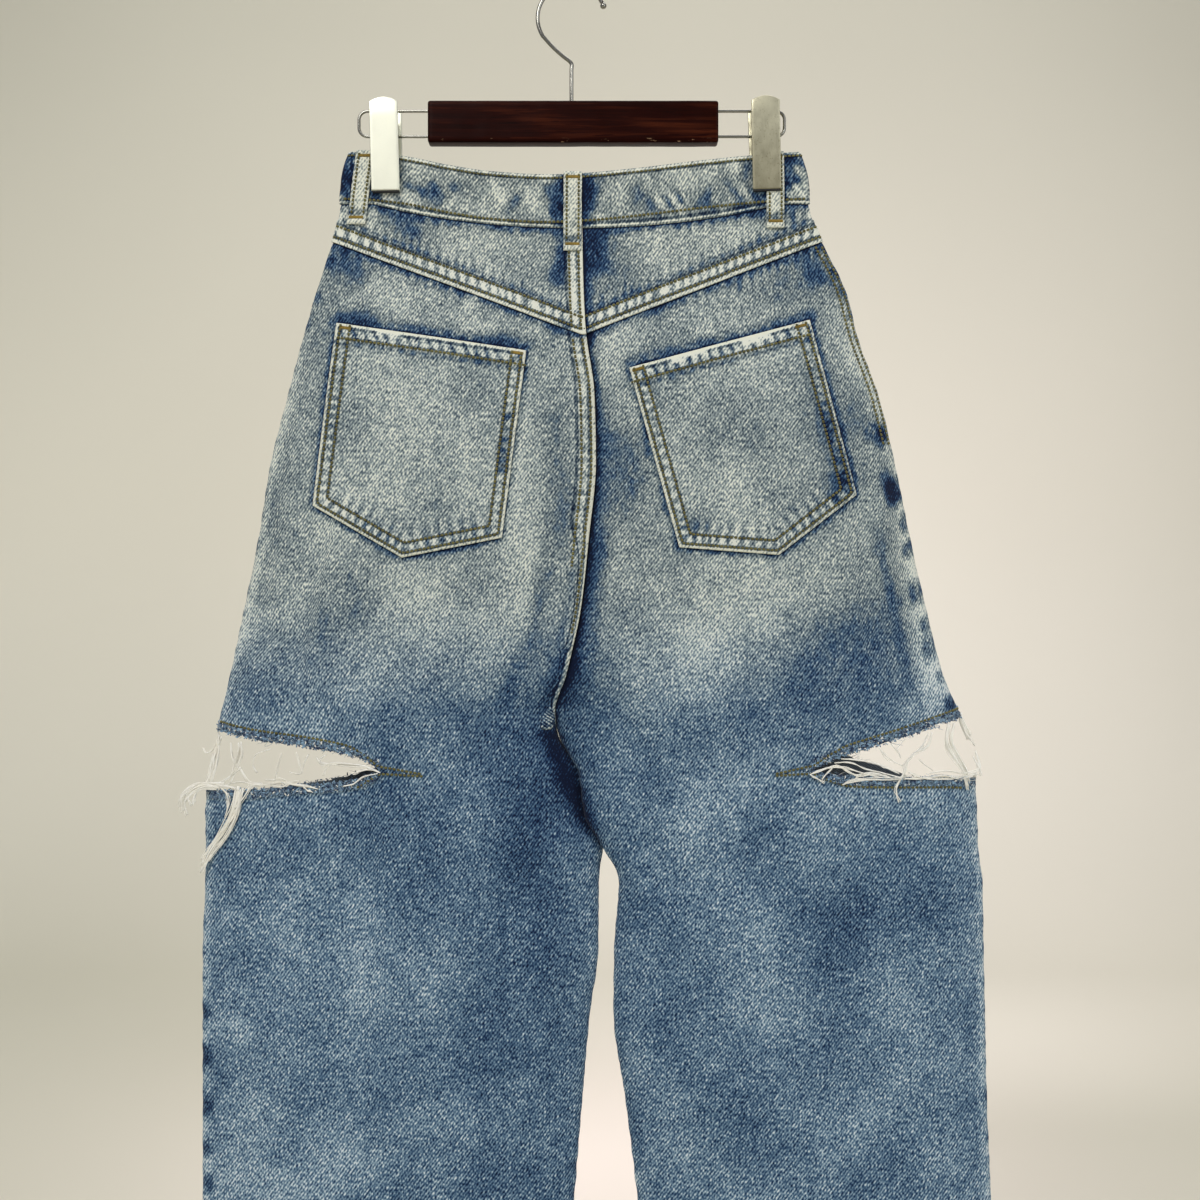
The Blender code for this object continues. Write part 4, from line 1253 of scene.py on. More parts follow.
def band_profile():
    """The waistband's section as (down from the top, lift), from the foot of the inside over the top."""
    middle = (BAND_OUTER + BAND_INNER) / 2
    radius = (BAND_OUTER - BAND_INNER) / 2
    rising = [(down, BAND_INNER) for down in (BAND_WIDTH - 0.5, 32, 24, 16, 9, 4, radius)]
    crown = [(radius - radius * sin(a), middle - radius * cos(a)) for a in np.linspace(0, pi, 7)[1:]]
    falling = [(down, BAND_OUTER) for down in np.linspace(radius + 1.2, BAND_WIDTH - 1.6, 24)]
    roll = [(BAND_WIDTH - 0.7, BAND_OUTER + 0.05), (BAND_WIDTH, BAND_OUTER - 0.4), (BAND_WIDTH + 0.2, -0.2),
            (BAND_WIDTH, -1.4)]
    return rising + crown + falling + roll


def waistband(half):
    """Double cloth folded over at the top, from the back seam round the side to the front."""
    back = arc_turns(half, "back", -150, (2.3, 1.6, 1.6, 8))[::-1]
    front = arc_turns(half, "front", -150, (2.3, 1.6, 1.6, 8))[1:]
    down, rise = np.array(band_profile()).T
    down, rise = down[:, None], rise[:, None]
    sides = []
    for face, turns in (("back", back), ("front", front)):
        top = settle(half, face, turns, waist_top(face))
        foot = settle(half, face, turns, waist_foot(face))
        heights = top - down * (top - foot) / BAND_WIDTH
        x = Panel(half, face, turns, heights).x
        drop = np.broadcast_to(down, x.shape)
        outside = rise > 0.9
        clip_free = ramp(np.minimum(np.abs(x - CLIPS["L"].across), np.abs(x - CLIPS["R"].across)), 13, 20)
        slanting = rope(x * 0.8 - drop * 0.55, 8.6, 91 if half == "L" else 92)
        slanting = slanting * np.clip(0.45 + 0.9 * patchy(x, drop, 24, 95), 0, 1.2)
        low = window(drop, 24, 34, 9)
        body = patchy(x - drop * 0.4, drop * 0.55, 10, 93)
        bulge = 0.25 * window(drop, 6, 33, 3) + 0.32 * slanting * low + 0.45 * body * window(drop, 8, 28, 6)
        points = cloth(half, face, turns, heights, rise + np.where(outside, bulge * clip_free, 0))
        points[:, turns == 0, 1] = 0
        gap = loop_gap(face, x)
        blot = np.clip(patchy(x + drop * 0.7, drop * 0.6, 13, 94) - 0.15, 0, 1)
        ridge = np.where(outside, 1.0 * slanting * low - 1.0 * blot * window(drop, 5, 30, 5) + 0.45 * body, 0)
        ridge -= 0.8 * fade(np.minimum(turns * 170, 170), 6, 14) * window(drop, 4, 30, 6)
        edge = np.where(outside, np.where(gap < 0, 2.0, gap * 0.8), FAR)
        rim = np.minimum(np.maximum(drop - 0.6, 0) * 1.1, BAND_WIDTH - drop)
        marks = wear_and_shade_marks(face, x, heights, 0.03, ridge=ridge, edge=edge,
                           rim=np.where(outside & (rim < 6), rim, FAR), fray=0 * x)
        flat = np.stack([x if face == "back" else 2 * outer_inner(half, -150)[0] - x, -drop], -1)
        sides.append({"points": points, "flat": flat, **marks})
    whole = {key: np.concatenate([side[key] for side in sides], axis=1) for key in sides[0]}
    points = whole.pop("points")
    rows, columns = points.shape[:2]
    points = points.reshape(-1, 3)
    ids = np.arange(rows * columns).reshape(rows, columns)
    faces = oriented(points, closed_tube(ids.T.tolist()))
    piece = shape(f"waistband_strip_{half}", points, faces, "denim", [DENIM],
                  cloth_map=whole.pop("flat").reshape(-1, 2) * MM, marks=whole)
    for sewn in SEWN.values():
        sewn.append((points, faces))
    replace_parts(piece, f"waistband_{half}")


def oriented(points, faces):
    """The same faces, turned round if the closed shape they make is inside out."""
    volume = 0.0
    for face in faces:
        a = points[face[0]]
        for i in range(1, len(face) - 1):
            volume += np.dot(a, np.cross(points[face[i]], points[face[i + 1]]))
    return faces if volume > 0 else [face[::-1] for face in faces]


def back_pocket(half):
    """A patch pocket with a folded top hem and turned-in edges."""
    top_out, top_in, foot_in, tip, foot_out = BACK_POCKETS[half]
    shares = np.concatenate([spaced(72, 2.0, 0.9, 2.0, 6), 1 + spaced(72, 2.0, 2.0, 0.9, 6)[1:]]) / 2
    rows = spaced(150, 2.0, 0.9, 0.9, 6)
    corners = np.array([top_out, top_in, foot_out, tip, foot_in], float)
    column = shares[:, None]
    top = mix(corners[0], corners[1], column)
    foot = np.where(column < 0.5, mix(corners[2], corners[3], 2 * column),
                    mix(corners[3], corners[4], 2 * column - 1))
    places = top + (foot - top) * rows[:, None, None]
    x, z = places[..., 0], places[..., 1]
    sides, run = near_line(x, z, [top_out, foot_out, tip, foot_in, top_in])
    hem = near_line(x, z, [top_out, top_in])[0]
    middle_x = (top_out[0] + top_in[0]) / 2
    sag = np.sin(pi * shares) * np.sin(pi * rows[:, None]) ** 0.8
    ladder = rope(run, 7.4, 101 if half == "L" else 102)
    between = window(sides, 4.5, 9.0, 1.0)
    folded = fade(sides, 10.8, 12.4)
    at_foot = ramp(run, 136, 150) * fade(run, 290, 304)
    top_fold = fade(hem, 10.6, 12)
    hem_rope = rope(x, 6.8, 103 if half == "L" else 104)
    lift = 1.35 + 0.45 * ramp(np.minimum(sides, hem + 0.6), 0, 1.4) + 0.4 * folded + 0.5 * top_fold
    lift += 0.7 * sag
    lift = lift + 0.22 * ladder * between + 0.22 * hem_rope * window(hem, 2, 9, 1.5)
    worn = sum(window(x, start, end, 2.5) for start, end in WORN_HEMS[half])
    worn = worn * fade(hem, 3.6 + 1.4 * wobble(x, 4.0, 105), 5.2 + 1.4 * wobble(x, 4.0, 105))
    ridge = between * (0.1 + (0.5 + 0.45 * at_foot) * np.tanh(1.8 * ladder)) * np.where(hem > 13, 1, 0)
    dashes = np.clip(1.4 * np.sin(2 * pi * (x - hem * 0.4 + 1.6 * wobble(x, 11, 103)) / 8.2) - 0.15, 0, 1)
    dashes = dashes * window(hem, 3.4 + 1.5 * wobble(x, 7, 104), 9.6, 1.6) * (1 - worn)
    ridge = ridge + top_fold * (0.55 - 1.35 * dashes - 0.3 * np.clip(patchy(x, z, 5, 107), 0, 1)) + 1.6 * worn
    # painted shadow under the folded hem, below its row of stitches
    ridge -= 0.9 * window(hem, 12.6, 15, 2.0) * (0.6 + 0.4 * rope(x, 8, 106))
    mid_side = window(-z, 330, 372, 14) * window(sides, 1.5, 10, 1.5) * (x > middle_x)
    ridge -= 0.8 * mid_side * np.clip(0.5 + patchy(x, z, 7, 109), 0, 1)
    low = window(sides, 11, 18, 6) * ramp(run, 140, 160) * fade(run, 275, 300)
    ridge += 0.8 * rope(run, 8.5, 108) * low
    grid = on_face("back", x, z, lift)
    marks = wear_and_shade_marks("back", x, z, 0.02, ridge=ridge, rim=np.minimum(sides, hem))
    piece = sewn_sheet(f"back_pocket_patch_{half}", "back", grid, facing_out("back", grid), marks, places,
                       1.2, [DENIM, DENIM])
    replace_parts(piece, f"back_pocket_{half}")


# ---------------------------------------------------------------- belt loops


def belt_loop(loop):
    """A folded strap with two rows of stitches, turned under at its foot."""
    top = float(waist_top(loop.face)(loop.top)) + 0.6
    foot = float(waist_foot(loop.face)(loop.bottom))
    end = foot - loop.drop
    heights = top + (end - top) * spaced(top - end, 1.6, 0.5, 0.5, 4)
    rise = np.interp(-heights, [-top, -top + 8, -top + 14, -foot - 6, -foot + 2, -foot + 6, -end],
                     [1.7, 1.8, 2.3, 2.3, 1.8, 1.5, 1.4])
    share = (top - heights) / (top - end)
    middle = mix(loop.top, loop.bottom, share)
    around = np.linspace(0, 2 * pi, 29)[:-1]
    side = np.sign(np.cos(around)) * np.abs(np.cos(around)) ** 0.45
    thick = np.sign(np.sin(around)) * np.abs(np.sin(around)) ** 0.6
    ends = np.minimum(ramp(heights, end - 0.2, end + 1.2), 1 - 0.35 * ramp(heights, top - 1.0, top))
    half_width = LOOP_WIDTH / 2 + 0.12 * wobble(heights, 6, 111)
    x = middle[:, None] + side * half_width[:, None]
    z = np.broadcast_to(heights[:, None], x.shape)
    swell = 0.18 * (1 - side ** 2)
    fat_foot = 0.5 * fade(heights, end + 3.5, end + 5.5)
    lift = rise[:, None] + 0.8 + (thick * 0.8 + np.maximum(thick, 0) * (swell + fat_foot[:, None])) * (
        0.35 + 0.65 * ends[:, None])
    points = on_face(loop.face, x, z, lift).reshape(-1, 3)
    ids = np.arange(len(points)).reshape(x.shape)
    faces = oriented(points, closed_tube(ids.tolist()))
    blot = np.clip(patchy(x, z, 9, 112), 0, 1) * window(z, end + 6, end + 18, 4)
    ridge = -0.8 * blot - 1.0 * window(z, end + 7.5, end + 10, 3.5)
    marks = {mark: np.broadcast_to(values, x.shape) for mark, values in marks_of(0.90, 1.0, ridge).items()}
    flat = np.stack([x, z], -1).reshape(-1, 2) * MM
    piece = shape(f"{loop.name}_strap", points, faces, "denim", [DENIM], marks, flat)
    SEWN[loop.face].append((points, faces))
    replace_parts(piece, loop.name)


# ---------------------------------------------------------------- stitches

Clip = namedtuple("Clip", "across foot turn pad_from pad_to")
CLIPS = {
    "L": Clip(-138.2, -155.5, 1.0, -6.0, 8.0),
    "R": Clip(145.6, -154.4, 1.6, -9.5, -1.2),
}


class Threads:
    """Gathers threads and joins them into one piece."""

    def __init__(self, name, finish):
        self.name = name
        self.finish = finish
        self.points = []
        self.faces = []

    def ring(self, middle, fat, first, second, sides):
        """Put a ring of points round a place, and give their numbers."""
        base = len(self.points)
        for i in range(sides):
            angle = 2 * pi * i / sides
            self.points.append(middle + fat * (first * cos(angle) + second * sin(angle)))
        return [base + i for i in range(sides)]

    def finish_piece(self):
        shape(self.name, np.array(self.points), self.faces, "denim", [self.finish])


class Sewing(Threads):
    """Stitches that are laid on the outer face of the cloth."""

    surfaces = {}

    @classmethod
    def learn(cls):
        for face, parts in SEWN.items():
            points, faces = [], []
            for part_points, part_faces in parts:
                start = len(points)
                points.extend(map(tuple, part_points))
                faces.extend(tuple(i + start for i in ring) for ring in part_faces)
            cls.surfaces[face] = BVHTree.FromPolygons(points, faces)

    @classmethod
    def touch(cls, face, across, height):
        """The outermost cloth at a place, and which way it faces."""
        sign = OUTWARD[face]
        start = Vector((across, sign * 90, height))
        hit, normal = cls.surfaces[face].ray_cast(start, Vector((0, -sign, 0)))[:2]
        if hit is None or hit.y * sign < -4:
            return None
        return hit, normal if normal.y * sign > 0 else -normal

    def row(self, face, line, pitch=3.1, long=2.6, thick=0.95):
        """A row of stitches along a line of (across, height) places."""
        dense = []
        for (x0, z0), (x1, z1) in zip(line, line[1:]):
            count = max(1, int(np.hypot(x1 - x0, z1 - z0) / 0.8))
            dense += [(mix(x0, x1, i / count), mix(z0, z1, i / count)) for i in range(count)]
        touched = [self.touch(face, *place) for place in dense + [line[-1]]]
        touched = [pair for pair in touched if pair is not None]
        if len(touched) < 3:
            return
        points = np.array([pair[0] for pair in touched])
        normals = np.array([pair[1] for pair in touched])
        run = lengths(points)
        for number, centre in enumerate(np.arange(pitch / 2, run[-1], pitch)):
            ends = [np.array([np.interp(at, run, points[:, k]) for k in range(3)])
                    for at in (centre - long / 2, centre + long / 2)]
            normal = np.array([np.interp(centre, run, normals[:, k]) for k in range(3)])
            self.stitch(ends[0], ends[1], normal / np.linalg.norm(normal), thick, number)

    def stitch(self, start, end, normal, thick, number=0):
        """One short bowed thread with both ends sunk into the cloth."""
        along = end - start
        length = np.linalg.norm(along)
        if length < 0.2 or length > 12:
            return
        along = along / length
        side = np.cross(normal, along)
        lean = 0.12 * (chance(float(number), 7.0) - 0.5)
        rings = []
        for share, fat, high in ((0, 0.45, -0.12), (0.25, 1.0, 0.28), (0.75, 1.0, 0.28), (1, 0.45, -0.12)):
            middle = start + along * length * share + normal * (high * thick / 0.36)
            rings.append(self.ring(middle + side * lean * (share - 0.5), fat * thick, side, normal * 0.8, 5))
        self.faces += closed_tube(rings)

    def tack(self, face, start, end, width=2.4):
        """A bartack: close satin stitches across a short line."""
        start, end = np.array(start, float), np.array(end, float)
        length = np.linalg.norm(end - start)
        along = (end - start) / length
        across = np.array([-along[1], along[0]]) * width / 2
        count = int(length / 0.5)
        for i in range(count):
            place = start + along * (i + 0.5) * length / count
            ends = [self.touch(face, *(place + across * way)) for way in (-1, 1)]
            if None in ends:
                continue
            normal = np.array((ends[0][1] + ends[1][1]).normalized())
            a, b = (np.array(pair[0]) + normal * 0.12 for pair in ends)
            self.stitch(a, b, normal, 0.36, i)


def offset_outline(corners, distance):
    """An open bent line moved towards its middle by distance."""
    corners = np.array(corners, float)
    middle = np.mean(corners, axis=0)
    moved = []
    for start, end in zip(corners, corners[1:]):
        along = (end - start) / np.linalg.norm(end - start)
        inward = np.array([-along[1], along[0]])
        if np.dot(inward, middle - start) < 0:
            inward = -inward
        moved.append((start + inward * distance, along))
    found = [moved[0][0]]
    for (a, u), (b, v) in zip(moved, moved[1:]):
        found.append(a + u * ((b - a)[0] * v[1] - (b - a)[1] * v[0]) / (u[0] * v[1] - u[1] * v[0]))
    last, along = moved[-1]
    found.append(last + along * np.linalg.norm(corners[-1] - corners[-2]))
    return [tuple(place) for place in found]


def along_edge(edge, xs, drop=0.0):
    """Places along an edge curve, moved down by drop."""
    return [(x, float(edge(x)) - drop) for x in xs]


def down_seam(column, aside, start, end, count=80):
    """Places down a seam, beside it."""
    return [(float(level_at(z, column)) + aside, z) for z in np.linspace(start, end, count)]


def sew_waist():
    sewing = Sewing("waistband_stitching", TOPSTITCH)
    for face in ("back", "front"):
        for half, side in INWARD.items():
            outer, inner = outer_inner(half, -150)
            for drop, thick in ((3.3, 0.75), (BAND_WIDTH - 3.0, 0.95)):
                xs = np.linspace(outer + side * 1.5, inner, 60)
                sewing.row(face, along_edge(waist_top(face), xs, drop), thick=thick)
    sewing.finish_piece()


def sew_yokes():
    sewing = Sewing("yoke_stitching", TOPSTITCH)
    for half, side in INWARD.items():
        outer, inner = outer_inner(half, -230)
        for rise in (NEAR_ROW, FAR_ROW):
            xs = np.linspace(outer + side * 3, inner, 60)
            sewing.row("back", along_edge(yoke_seam(half), xs, -rise * YOKE_ROWS * 1.05))
    for away in (NEAR_ROW, FAR_ROW):
        sewing.row("back", down_seam("left_in", -away, -186, -262 + away * 0.3, 40))
    sewing.finish_piece()


def sew_legs():
    """The rows along the centre seams, the outseams at the hip, the slits and the hems."""
    sewing = Sewing("leg_stitching", TOPSTITCH)
    for away, end in ((NEAR_ROW, -485), (FAR_ROW, -436)):
        sewing.row("back", down_seam("left_in", -away, -268, end))
        sewing.row("front", down_seam("right_in", away, -290, -540))
    for half, side in INWARD.items():
        if half == "R":
            for away in (2.4, 7.0):
                sewing.row("back", down_seam("right_out", -away, -196, -345, 50))
        for face in ("back", "front"):
            upper, gape = slit_edges(half, face)
            end = SLIT_END[half, face]
            outer = float(outer_inner(half, -560)[0]) + side * 3
            xs = np.linspace(outer, end + side * 2, 50)
            point = end + side * DART_REACH[half]
            sewing.row(face, [(x, float(upper(x)) + 4.6 * float(ramp(abs(x - end), 0, 30)) + 2.0) for x in xs]
                       + [(point, float(upper(point)) - 2.2)])
            lower = xs[-9:] if (half, face) == ("L", "back") else xs
            sewing.row(face, [(x, float(upper(x) - gape(x)) - 5.0 * float(ramp(abs(x - end), 0, 30)) - 1.8)
                              for x in lower] + [(point, float(upper(point)) - 3.6)])
            outer, inner = outer_inner(half, HEM)
            xs = np.linspace(outer + side * 4, inner - side * 4, 60)
            sewing.row(face, [(x, HEM + HEM_FOLD - 1.6) for x in xs])
    sewing.finish_piece()


def sew_front():
    """The mouths of the front pockets and the curved row that closes the fly."""
    sewing = Sewing("front_stitching", TOPSTITCH)
    for half, side in INWARD.items():
        outer = outer_inner(half, -235)[0]
        mouth = bare_point(half, "front", SCOOP_TURN, WAIST_FLAT)[0]
        for drop in (2.6, 9.2):
            places = along_edge(scoop_edge(half), np.linspace(outer + side * 3, mouth, 90))
            line = []
            for (x0, z0), (x1, z1) in zip(places, places[1:]):
                length = np.hypot(x1 - x0, z1 - z0)
                line.append((x0 + (z1 - z0) / length * drop * side, z0 - abs(x1 - x0) / length * drop))
            sewing.row("front", [(x, z) for x, z in line if z < waist_foot("front")(x) - 1])
    foot = float(waist_foot("front")(0.0))
    bend = foot - FLY_LENGTH * 0.66
    for away in (0.0, 6.2):
        line = [(-29 + away, z) for z in np.linspace(foot - 2, bend, 24)]
        line += [(mix(-29 + away, 8, 1 - cos(a)), bend - (FLY_LENGTH * 0.34 - away) * sin(a))
                 for a in np.linspace(0, pi / 2, 14)]
        sewing.row("front", line)
    sewing.finish_piece()


def sew_pockets():
    for half, corners in BACK_POCKETS.items():
        sewing = Sewing(f"pocket_stitching_{half}", TOPSTITCH)
        top_out, top_in, foot_in, tip, foot_out = corners
        for distance in (NEAR_ROW, FAR_ROW):
            sewing.row("back", offset_outline([top_out, foot_out, tip, foot_in, top_in], distance))
        sewing.row("back", [(x, z - 10.8) for x, z in (top_out, top_in)])
        sewing.finish_piece()


def sew_tacks():
    """Bartacks at the pockets' corners and at the ends of the belt loops, and the rows down each loop."""
    tacks = Sewing("bartacks", BARTACK)
    rows = Sewing("belt_loop_stitching", TOPSTITCH)
    for corners in BACK_POCKETS.values():
        for corner, other in (corners[:2], corners[1::-1]):
            corner, other = np.array(corner, float), np.array(other, float)
            along = (other - corner) / np.linalg.norm(other - corner)
            start = corner + along * 2.5 + np.array([0, -2.6])
            tacks.tack("back", start, start + along * 8.5)
    for loop in BELT_LOOPS:
        top = float(waist_top(loop.face)(loop.top))
        end = float(waist_foot(loop.face)(loop.bottom)) - loop.drop
        half = LOOP_WIDTH / 2
        for middle, height in ((loop.top, top - 3.4), (loop.bottom, end + 5.2)):
            tacks.tack(loop.face, (middle - half + 1.4, height), (middle + half - 1.4, height))
        for side in (-1, 1):
            line = [(mix(loop.top, loop.bottom, (top - z) / (top - end)) + side * (half - 2.3), z)
                    for z in np.linspace(top - 1, end + 7, 30)]
            rows.row(loop.face, line, pitch=2.9, long=2.4, thick=0.85)
    tacks.finish_piece()
    rows.finish_piece()


# ---------------------------------------------------------------- loose threads

# Each thread's route of (across, height, how far off the cloth in twentieths of a millimetre) places, and its
# thickness.
THREADS = [
    ([(-262, -599, 8), (-275, -597, 12), (-286, -603, 10), (-290, -612, 6)], 0.42),
    ([(-262, -600, 8), (-274, -598, 14), (-283, -603, 13), (-288, -610, 9), (-288, -618, 6)], 0.40),
    ([(-262, -600, 9), (-272, -599, 15), (-280, -603, 15), (-286, -611, 12), (-284, -620, 9)], 0.42),
    ([(-262, -601, 9), (-275, -601, 13), (-279, -607, 14), (-280, -612, 12)], 0.38),
    ([(-256, -596, 6), (-271, -596, 9), (-280, -599, 8), (-287, -607, 5), (-289, -614, 3)], 0.40),
    ([(-260, -600, 10), (-270, -598, 16), (-281, -601, 17), (-284, -606, 15), (-281, -613, 14)], 0.38),
    ([(-261, -561, 5), (-264, -575, 6), (-266, -586, 7), (-270, -597, 8)], 0.42),
    ([(-262, -563, 7), (-261, -574, 8), (-264, -586, 8), (-267, -596, 10)], 0.40),
    ([(-259, -562, 3), (-263, -571, 3), (-267, -582, 4), (-268, -594, 6)], 0.38),
    ([(-264, -560, 6), (-262, -568, 9), (-265, -580, 9), (-266, -592, 9)], 0.36),
    ([(-263, -566, 5), (-268, -573, 6), (-272, -574, 6), (-274, -571, 5)], 0.34),
    ([(-245, -598, 16), (-248, -614, 24), (-256, -630, 24), (-268, -649, 22), (-275, -663, 19)], 0.48),
    ([(-241, -599, 16), (-245, -614, 25), (-254, -627, 25), (-266, -643, 23), (-274, -657, 20)], 0.46),
    ([(-247, -600, 16), (-250, -616, 24), (-259, -632, 23), (-270, -647, 21), (-273, -654, 18)], 0.42),
    ([(-243, -600, 17), (-246, -618, 26), (-253, -633, 26), (-262, -645, 24), (-268, -653, 22)], 0.44),
    ([(-241, -601, 17), (-246, -619, 25), (-254, -635, 25), (-261, -643, 24)], 0.40),
    ([(-244, -598, 15), (-247, -612, 26), (-254, -629, 27), (-265, -646, 25), (-272, -659, 22)], 0.44),
    ([(-259, -599, 13), (-254, -604, 23), (-252, -611, 24), (-254, -620, 23)], 0.38),
    ([(-228, -597, 14), (-234, -597, 20), (-240, -605, 24), (-247, -614, 25)], 0.38),
    ([(-243, -565, 8), (-242, -575, 3), (-246, -584, 4), (-251, -595, 8)], 0.40),
    ([(-251, -566, 8), (-249, -578, 5), (-243, -586, 3), (-236, -595, 6), (-227, -596, 10)], 0.38),
    ([(-243, -584, 5), (-247, -588, 6), (-258, -595, 8), (-268, -596, 8)], 0.34),
    ([(-245, -566, 9), (-245, -573, 6), (-248, -582, 8), (-250, -590, 10)], 0.40),
    ([(-220, -570, 9), (-231, -574, 2), (-234, -581, 0), (-231, -588, 2)], 0.30),
    ([(-212, -573, 8), (-215, -584, -2), (-217, -592, -4)], 0.32),
    ([(-201, -572, 10), (-199, -580, 4), (-197, -588, 2)], 0.30),
    ([(-192, -574, 10), (-196, -582, 2), (-198, -588, -2), (-207, -587, -3)], 0.30),
    ([(-186, -576, 12), (-182, -582, 16), (-176, -580, 17), (-165, -580, 16), (-152, -582, 17),
      (-141, -587, 19)], 0.36),
    ([(-179, -574, 12), (-184, -579, 8), (-168, -582, 8), (-150, -583, 14)], 0.32),
    ([(-139, -587, 21), (-146, -585, 22), (-154, -586, 20), (-161, -588, 17)], 0.34),
    ([(-166, -597, 18), (-158, -595, 20), (-152, -590, 21), (-141, -588, 22)], 0.34),
    ([(-173, -580, 10), (-179, -584, 5), (-181, -589, 4)], 0.28),
    ([(-224, -593, 14), (-213, -594, 18), (-204, -596, 20), (-193, -597, 22), (-185, -599, 24)], 0.38),
    ([(-220, -596, 16), (-215, -592, 17), (-209, -594, 20), (-210, -598, 22), (-219, -597, 20)], 0.34),
    ([(-196, -597, 22), (-193, -600, 24), (-189, -602, 24)], 0.34),
    ([(-268, -596, 6), (-256, -598, 9), (-244, -595, 10), (-228, -597, 12), (-215, -595, 14),
      (-199, -594, 15)], 0.32),
    ([(-272, -600, 8), (-266, -598, 12), (-255, -598, 15), (-243, -601, 18)], 0.42),
    ([(280, -552, 14), (278, -567, 15), (284, -577, 15), (290, -587, 15), (294, -601, 19)], 0.52),
    ([(285, -552, 12), (282, -565, 13), (289, -578, 14), (294, -587, 13), (295, -595, 14)], 0.52),
    ([(281, -553, 15), (279, -566, 17), (285, -577, 17), (291, -588, 16), (294, -598, 18)], 0.44),
    ([(293, -545, 8), (295, -558, 10), (302, -569, 8)], 0.42),
    ([(292, -546, 6), (297, -556, 8), (300, -562, 6)], 0.38),
    ([(290, -546, 9), (294, -555, 12), (298, -565, 11)], 0.38),
    ([(302, -573, 5), (304, -583, 6), (300, -592, 8)], 0.40),
    ([(300, -577, 3), (303, -585, 4), (305, -591, 3)], 0.36),
    ([(246, -592, 16), (260, -592, 16), (275, -591, 15), (289, -592, 13), (302, -590, 8)], 0.38),
    ([(249, -587, 12), (261, -592, 15), (278, -593, 15), (292, -591, 12)], 0.38),
    ([(265, -588, 12), (278, -587, 12), (292, -589, 10), (304, -587, 5)], 0.34),
    ([(177, -588, 21), (186, -585, 21), (195, -582, 20), (203, -585, 18), (211, -589, 18),
      (226, -589, 17), (236, -592, 17)], 0.36),
    ([(185, -592, 21), (190, -586, 20), (196, -582, 19), (204, -587, 18), (212, -589, 18)], 0.34),
    ([(176, -588, 22), (180, -591, 22), (187, -594, 23)], 0.34),
    ([(200, -596, 21), (209, -593, 20), (221, -592, 19), (242, -593, 18)], 0.38),
    ([(208, -593, 19), (214, -589, 17), (226, -588, 16), (237, -592, 17)], 0.34),
    ([(267, -558, 15), (263, -569, 14), (254, -573, 14), (248, -580, 15), (246, -587, 17),
      (241, -597, 21), (240, -603, 23), (242, -609, 23)], 0.40),
    ([(264, -559, 15), (260, -568, 12), (252, -574, 12), (246, -581, 14), (245, -589, 16)], 0.36),
    ([(226, -568, 18), (234, -577, 14), (245, -583, 14)], 0.26),
    ([(236, -566, 17), (241, -572, 12), (243, -576, 10)], 0.26),
    ([(246, -563, 17), (241, -568, 13), (240, -572, 12)], 0.26),
    ([(212, -571, 19), (211, -578, 17)], 0.26),
    ([(257, -578, 8), (261, -581, 7), (267, -586, 8)], 0.26),
    ([(199, -577, 19), (211, -578, 15), (226, -581, 14), (242, -588, 15)], 0.32),
    ([(194, -580, 19), (206, -580, 17), (218, -585, 16), (236, -589, 16), (246, -592, 16)], 0.32),
    ([(188, -584, 20), (200, -583, 18), (214, -587, 17), (232, -591, 16), (252, -590, 15)], 0.32),
]
STOUT = 0.37            # a thread thicker than this is a bundle of four strands, and a finer one of two


def smooth_route(points, steps_each=5):
    """A smooth curve through points, with its ends kept."""
    points = np.asarray(points, float)
    padded = np.concatenate([[2 * points[0] - points[1]], points, [2 * points[-1] - points[-2]]])
    found = []
    for i in range(1, len(padded) - 2):
        p0, p1, p2, p3 = padded[i - 1:i + 3]
        for t in np.linspace(0, 1, steps_each, endpoint=False):
            found.append(0.5 * (2 * p1 + (p2 - p0) * t + (2 * p0 - 5 * p1 + 4 * p2 - p3) * t ** 2
                                + (3 * p1 - p0 - 3 * p2 + p3) * t ** 3))
    found.append(points[-1])
    return np.array(found)


class Yarns(Threads):
    """Loose threads, each along a route of its own."""

    def add(self, route, thick, sides, taper):
        route = np.asarray(route, float)
        count = len(route)
        tangent = np.gradient(route, axis=0)
        tangent /= np.maximum(np.linalg.norm(tangent, axis=1, keepdims=True), 1e-6)
        normal = np.cross(tangent[0], [0.31, 0.9, 0.2])
        rings = []
        for k in range(count):
            normal = normal - tangent[k] * np.dot(normal, tangent[k])
            normal /= max(np.linalg.norm(normal), 1e-6)
            side = np.cross(tangent[k], normal)
            rings.append(self.ring(route[k], thick * mix(1.0, taper, k / (count - 1)), normal, side, sides))
        self.faces += closed_tube(rings)


def long_threads():
    yarns = Yarns("loose_weft_threads", WHITE_YARN)
    for number, (places, thick) in enumerate(THREADS):
        x, z, depth = np.array(places, float).T
        half = "L" if x[0] < 0 else "R"
        outer = outer_inner(half, -590)[0]
        within = np.maximum(x, outer + 6) if half == "L" else np.minimum(x, outer - 6)
        y = on_face("back", within, z, 1.1 + depth / 20)[:, 1]
        route = np.stack([x, y, z], 1)
        for strand in range(4 if thick > STOUT else 2):
            smooth = smooth_route(route)
            run = np.arange(len(smooth))
            for axis, seed in ((0, 1), (1, 2), (2, 3)):
                stray = wobble(run, 3.0 + 2.0 * strand, seed + number * 3 + 400 * strand)
                smooth[:, axis] += (0.45 + 0.6 * strand) * stray * np.minimum(1, run / 3)
            yarns.add(smooth, (1.5 - 0.28 * strand) * thick, 6, 0.7)
    yarns.finish_piece()


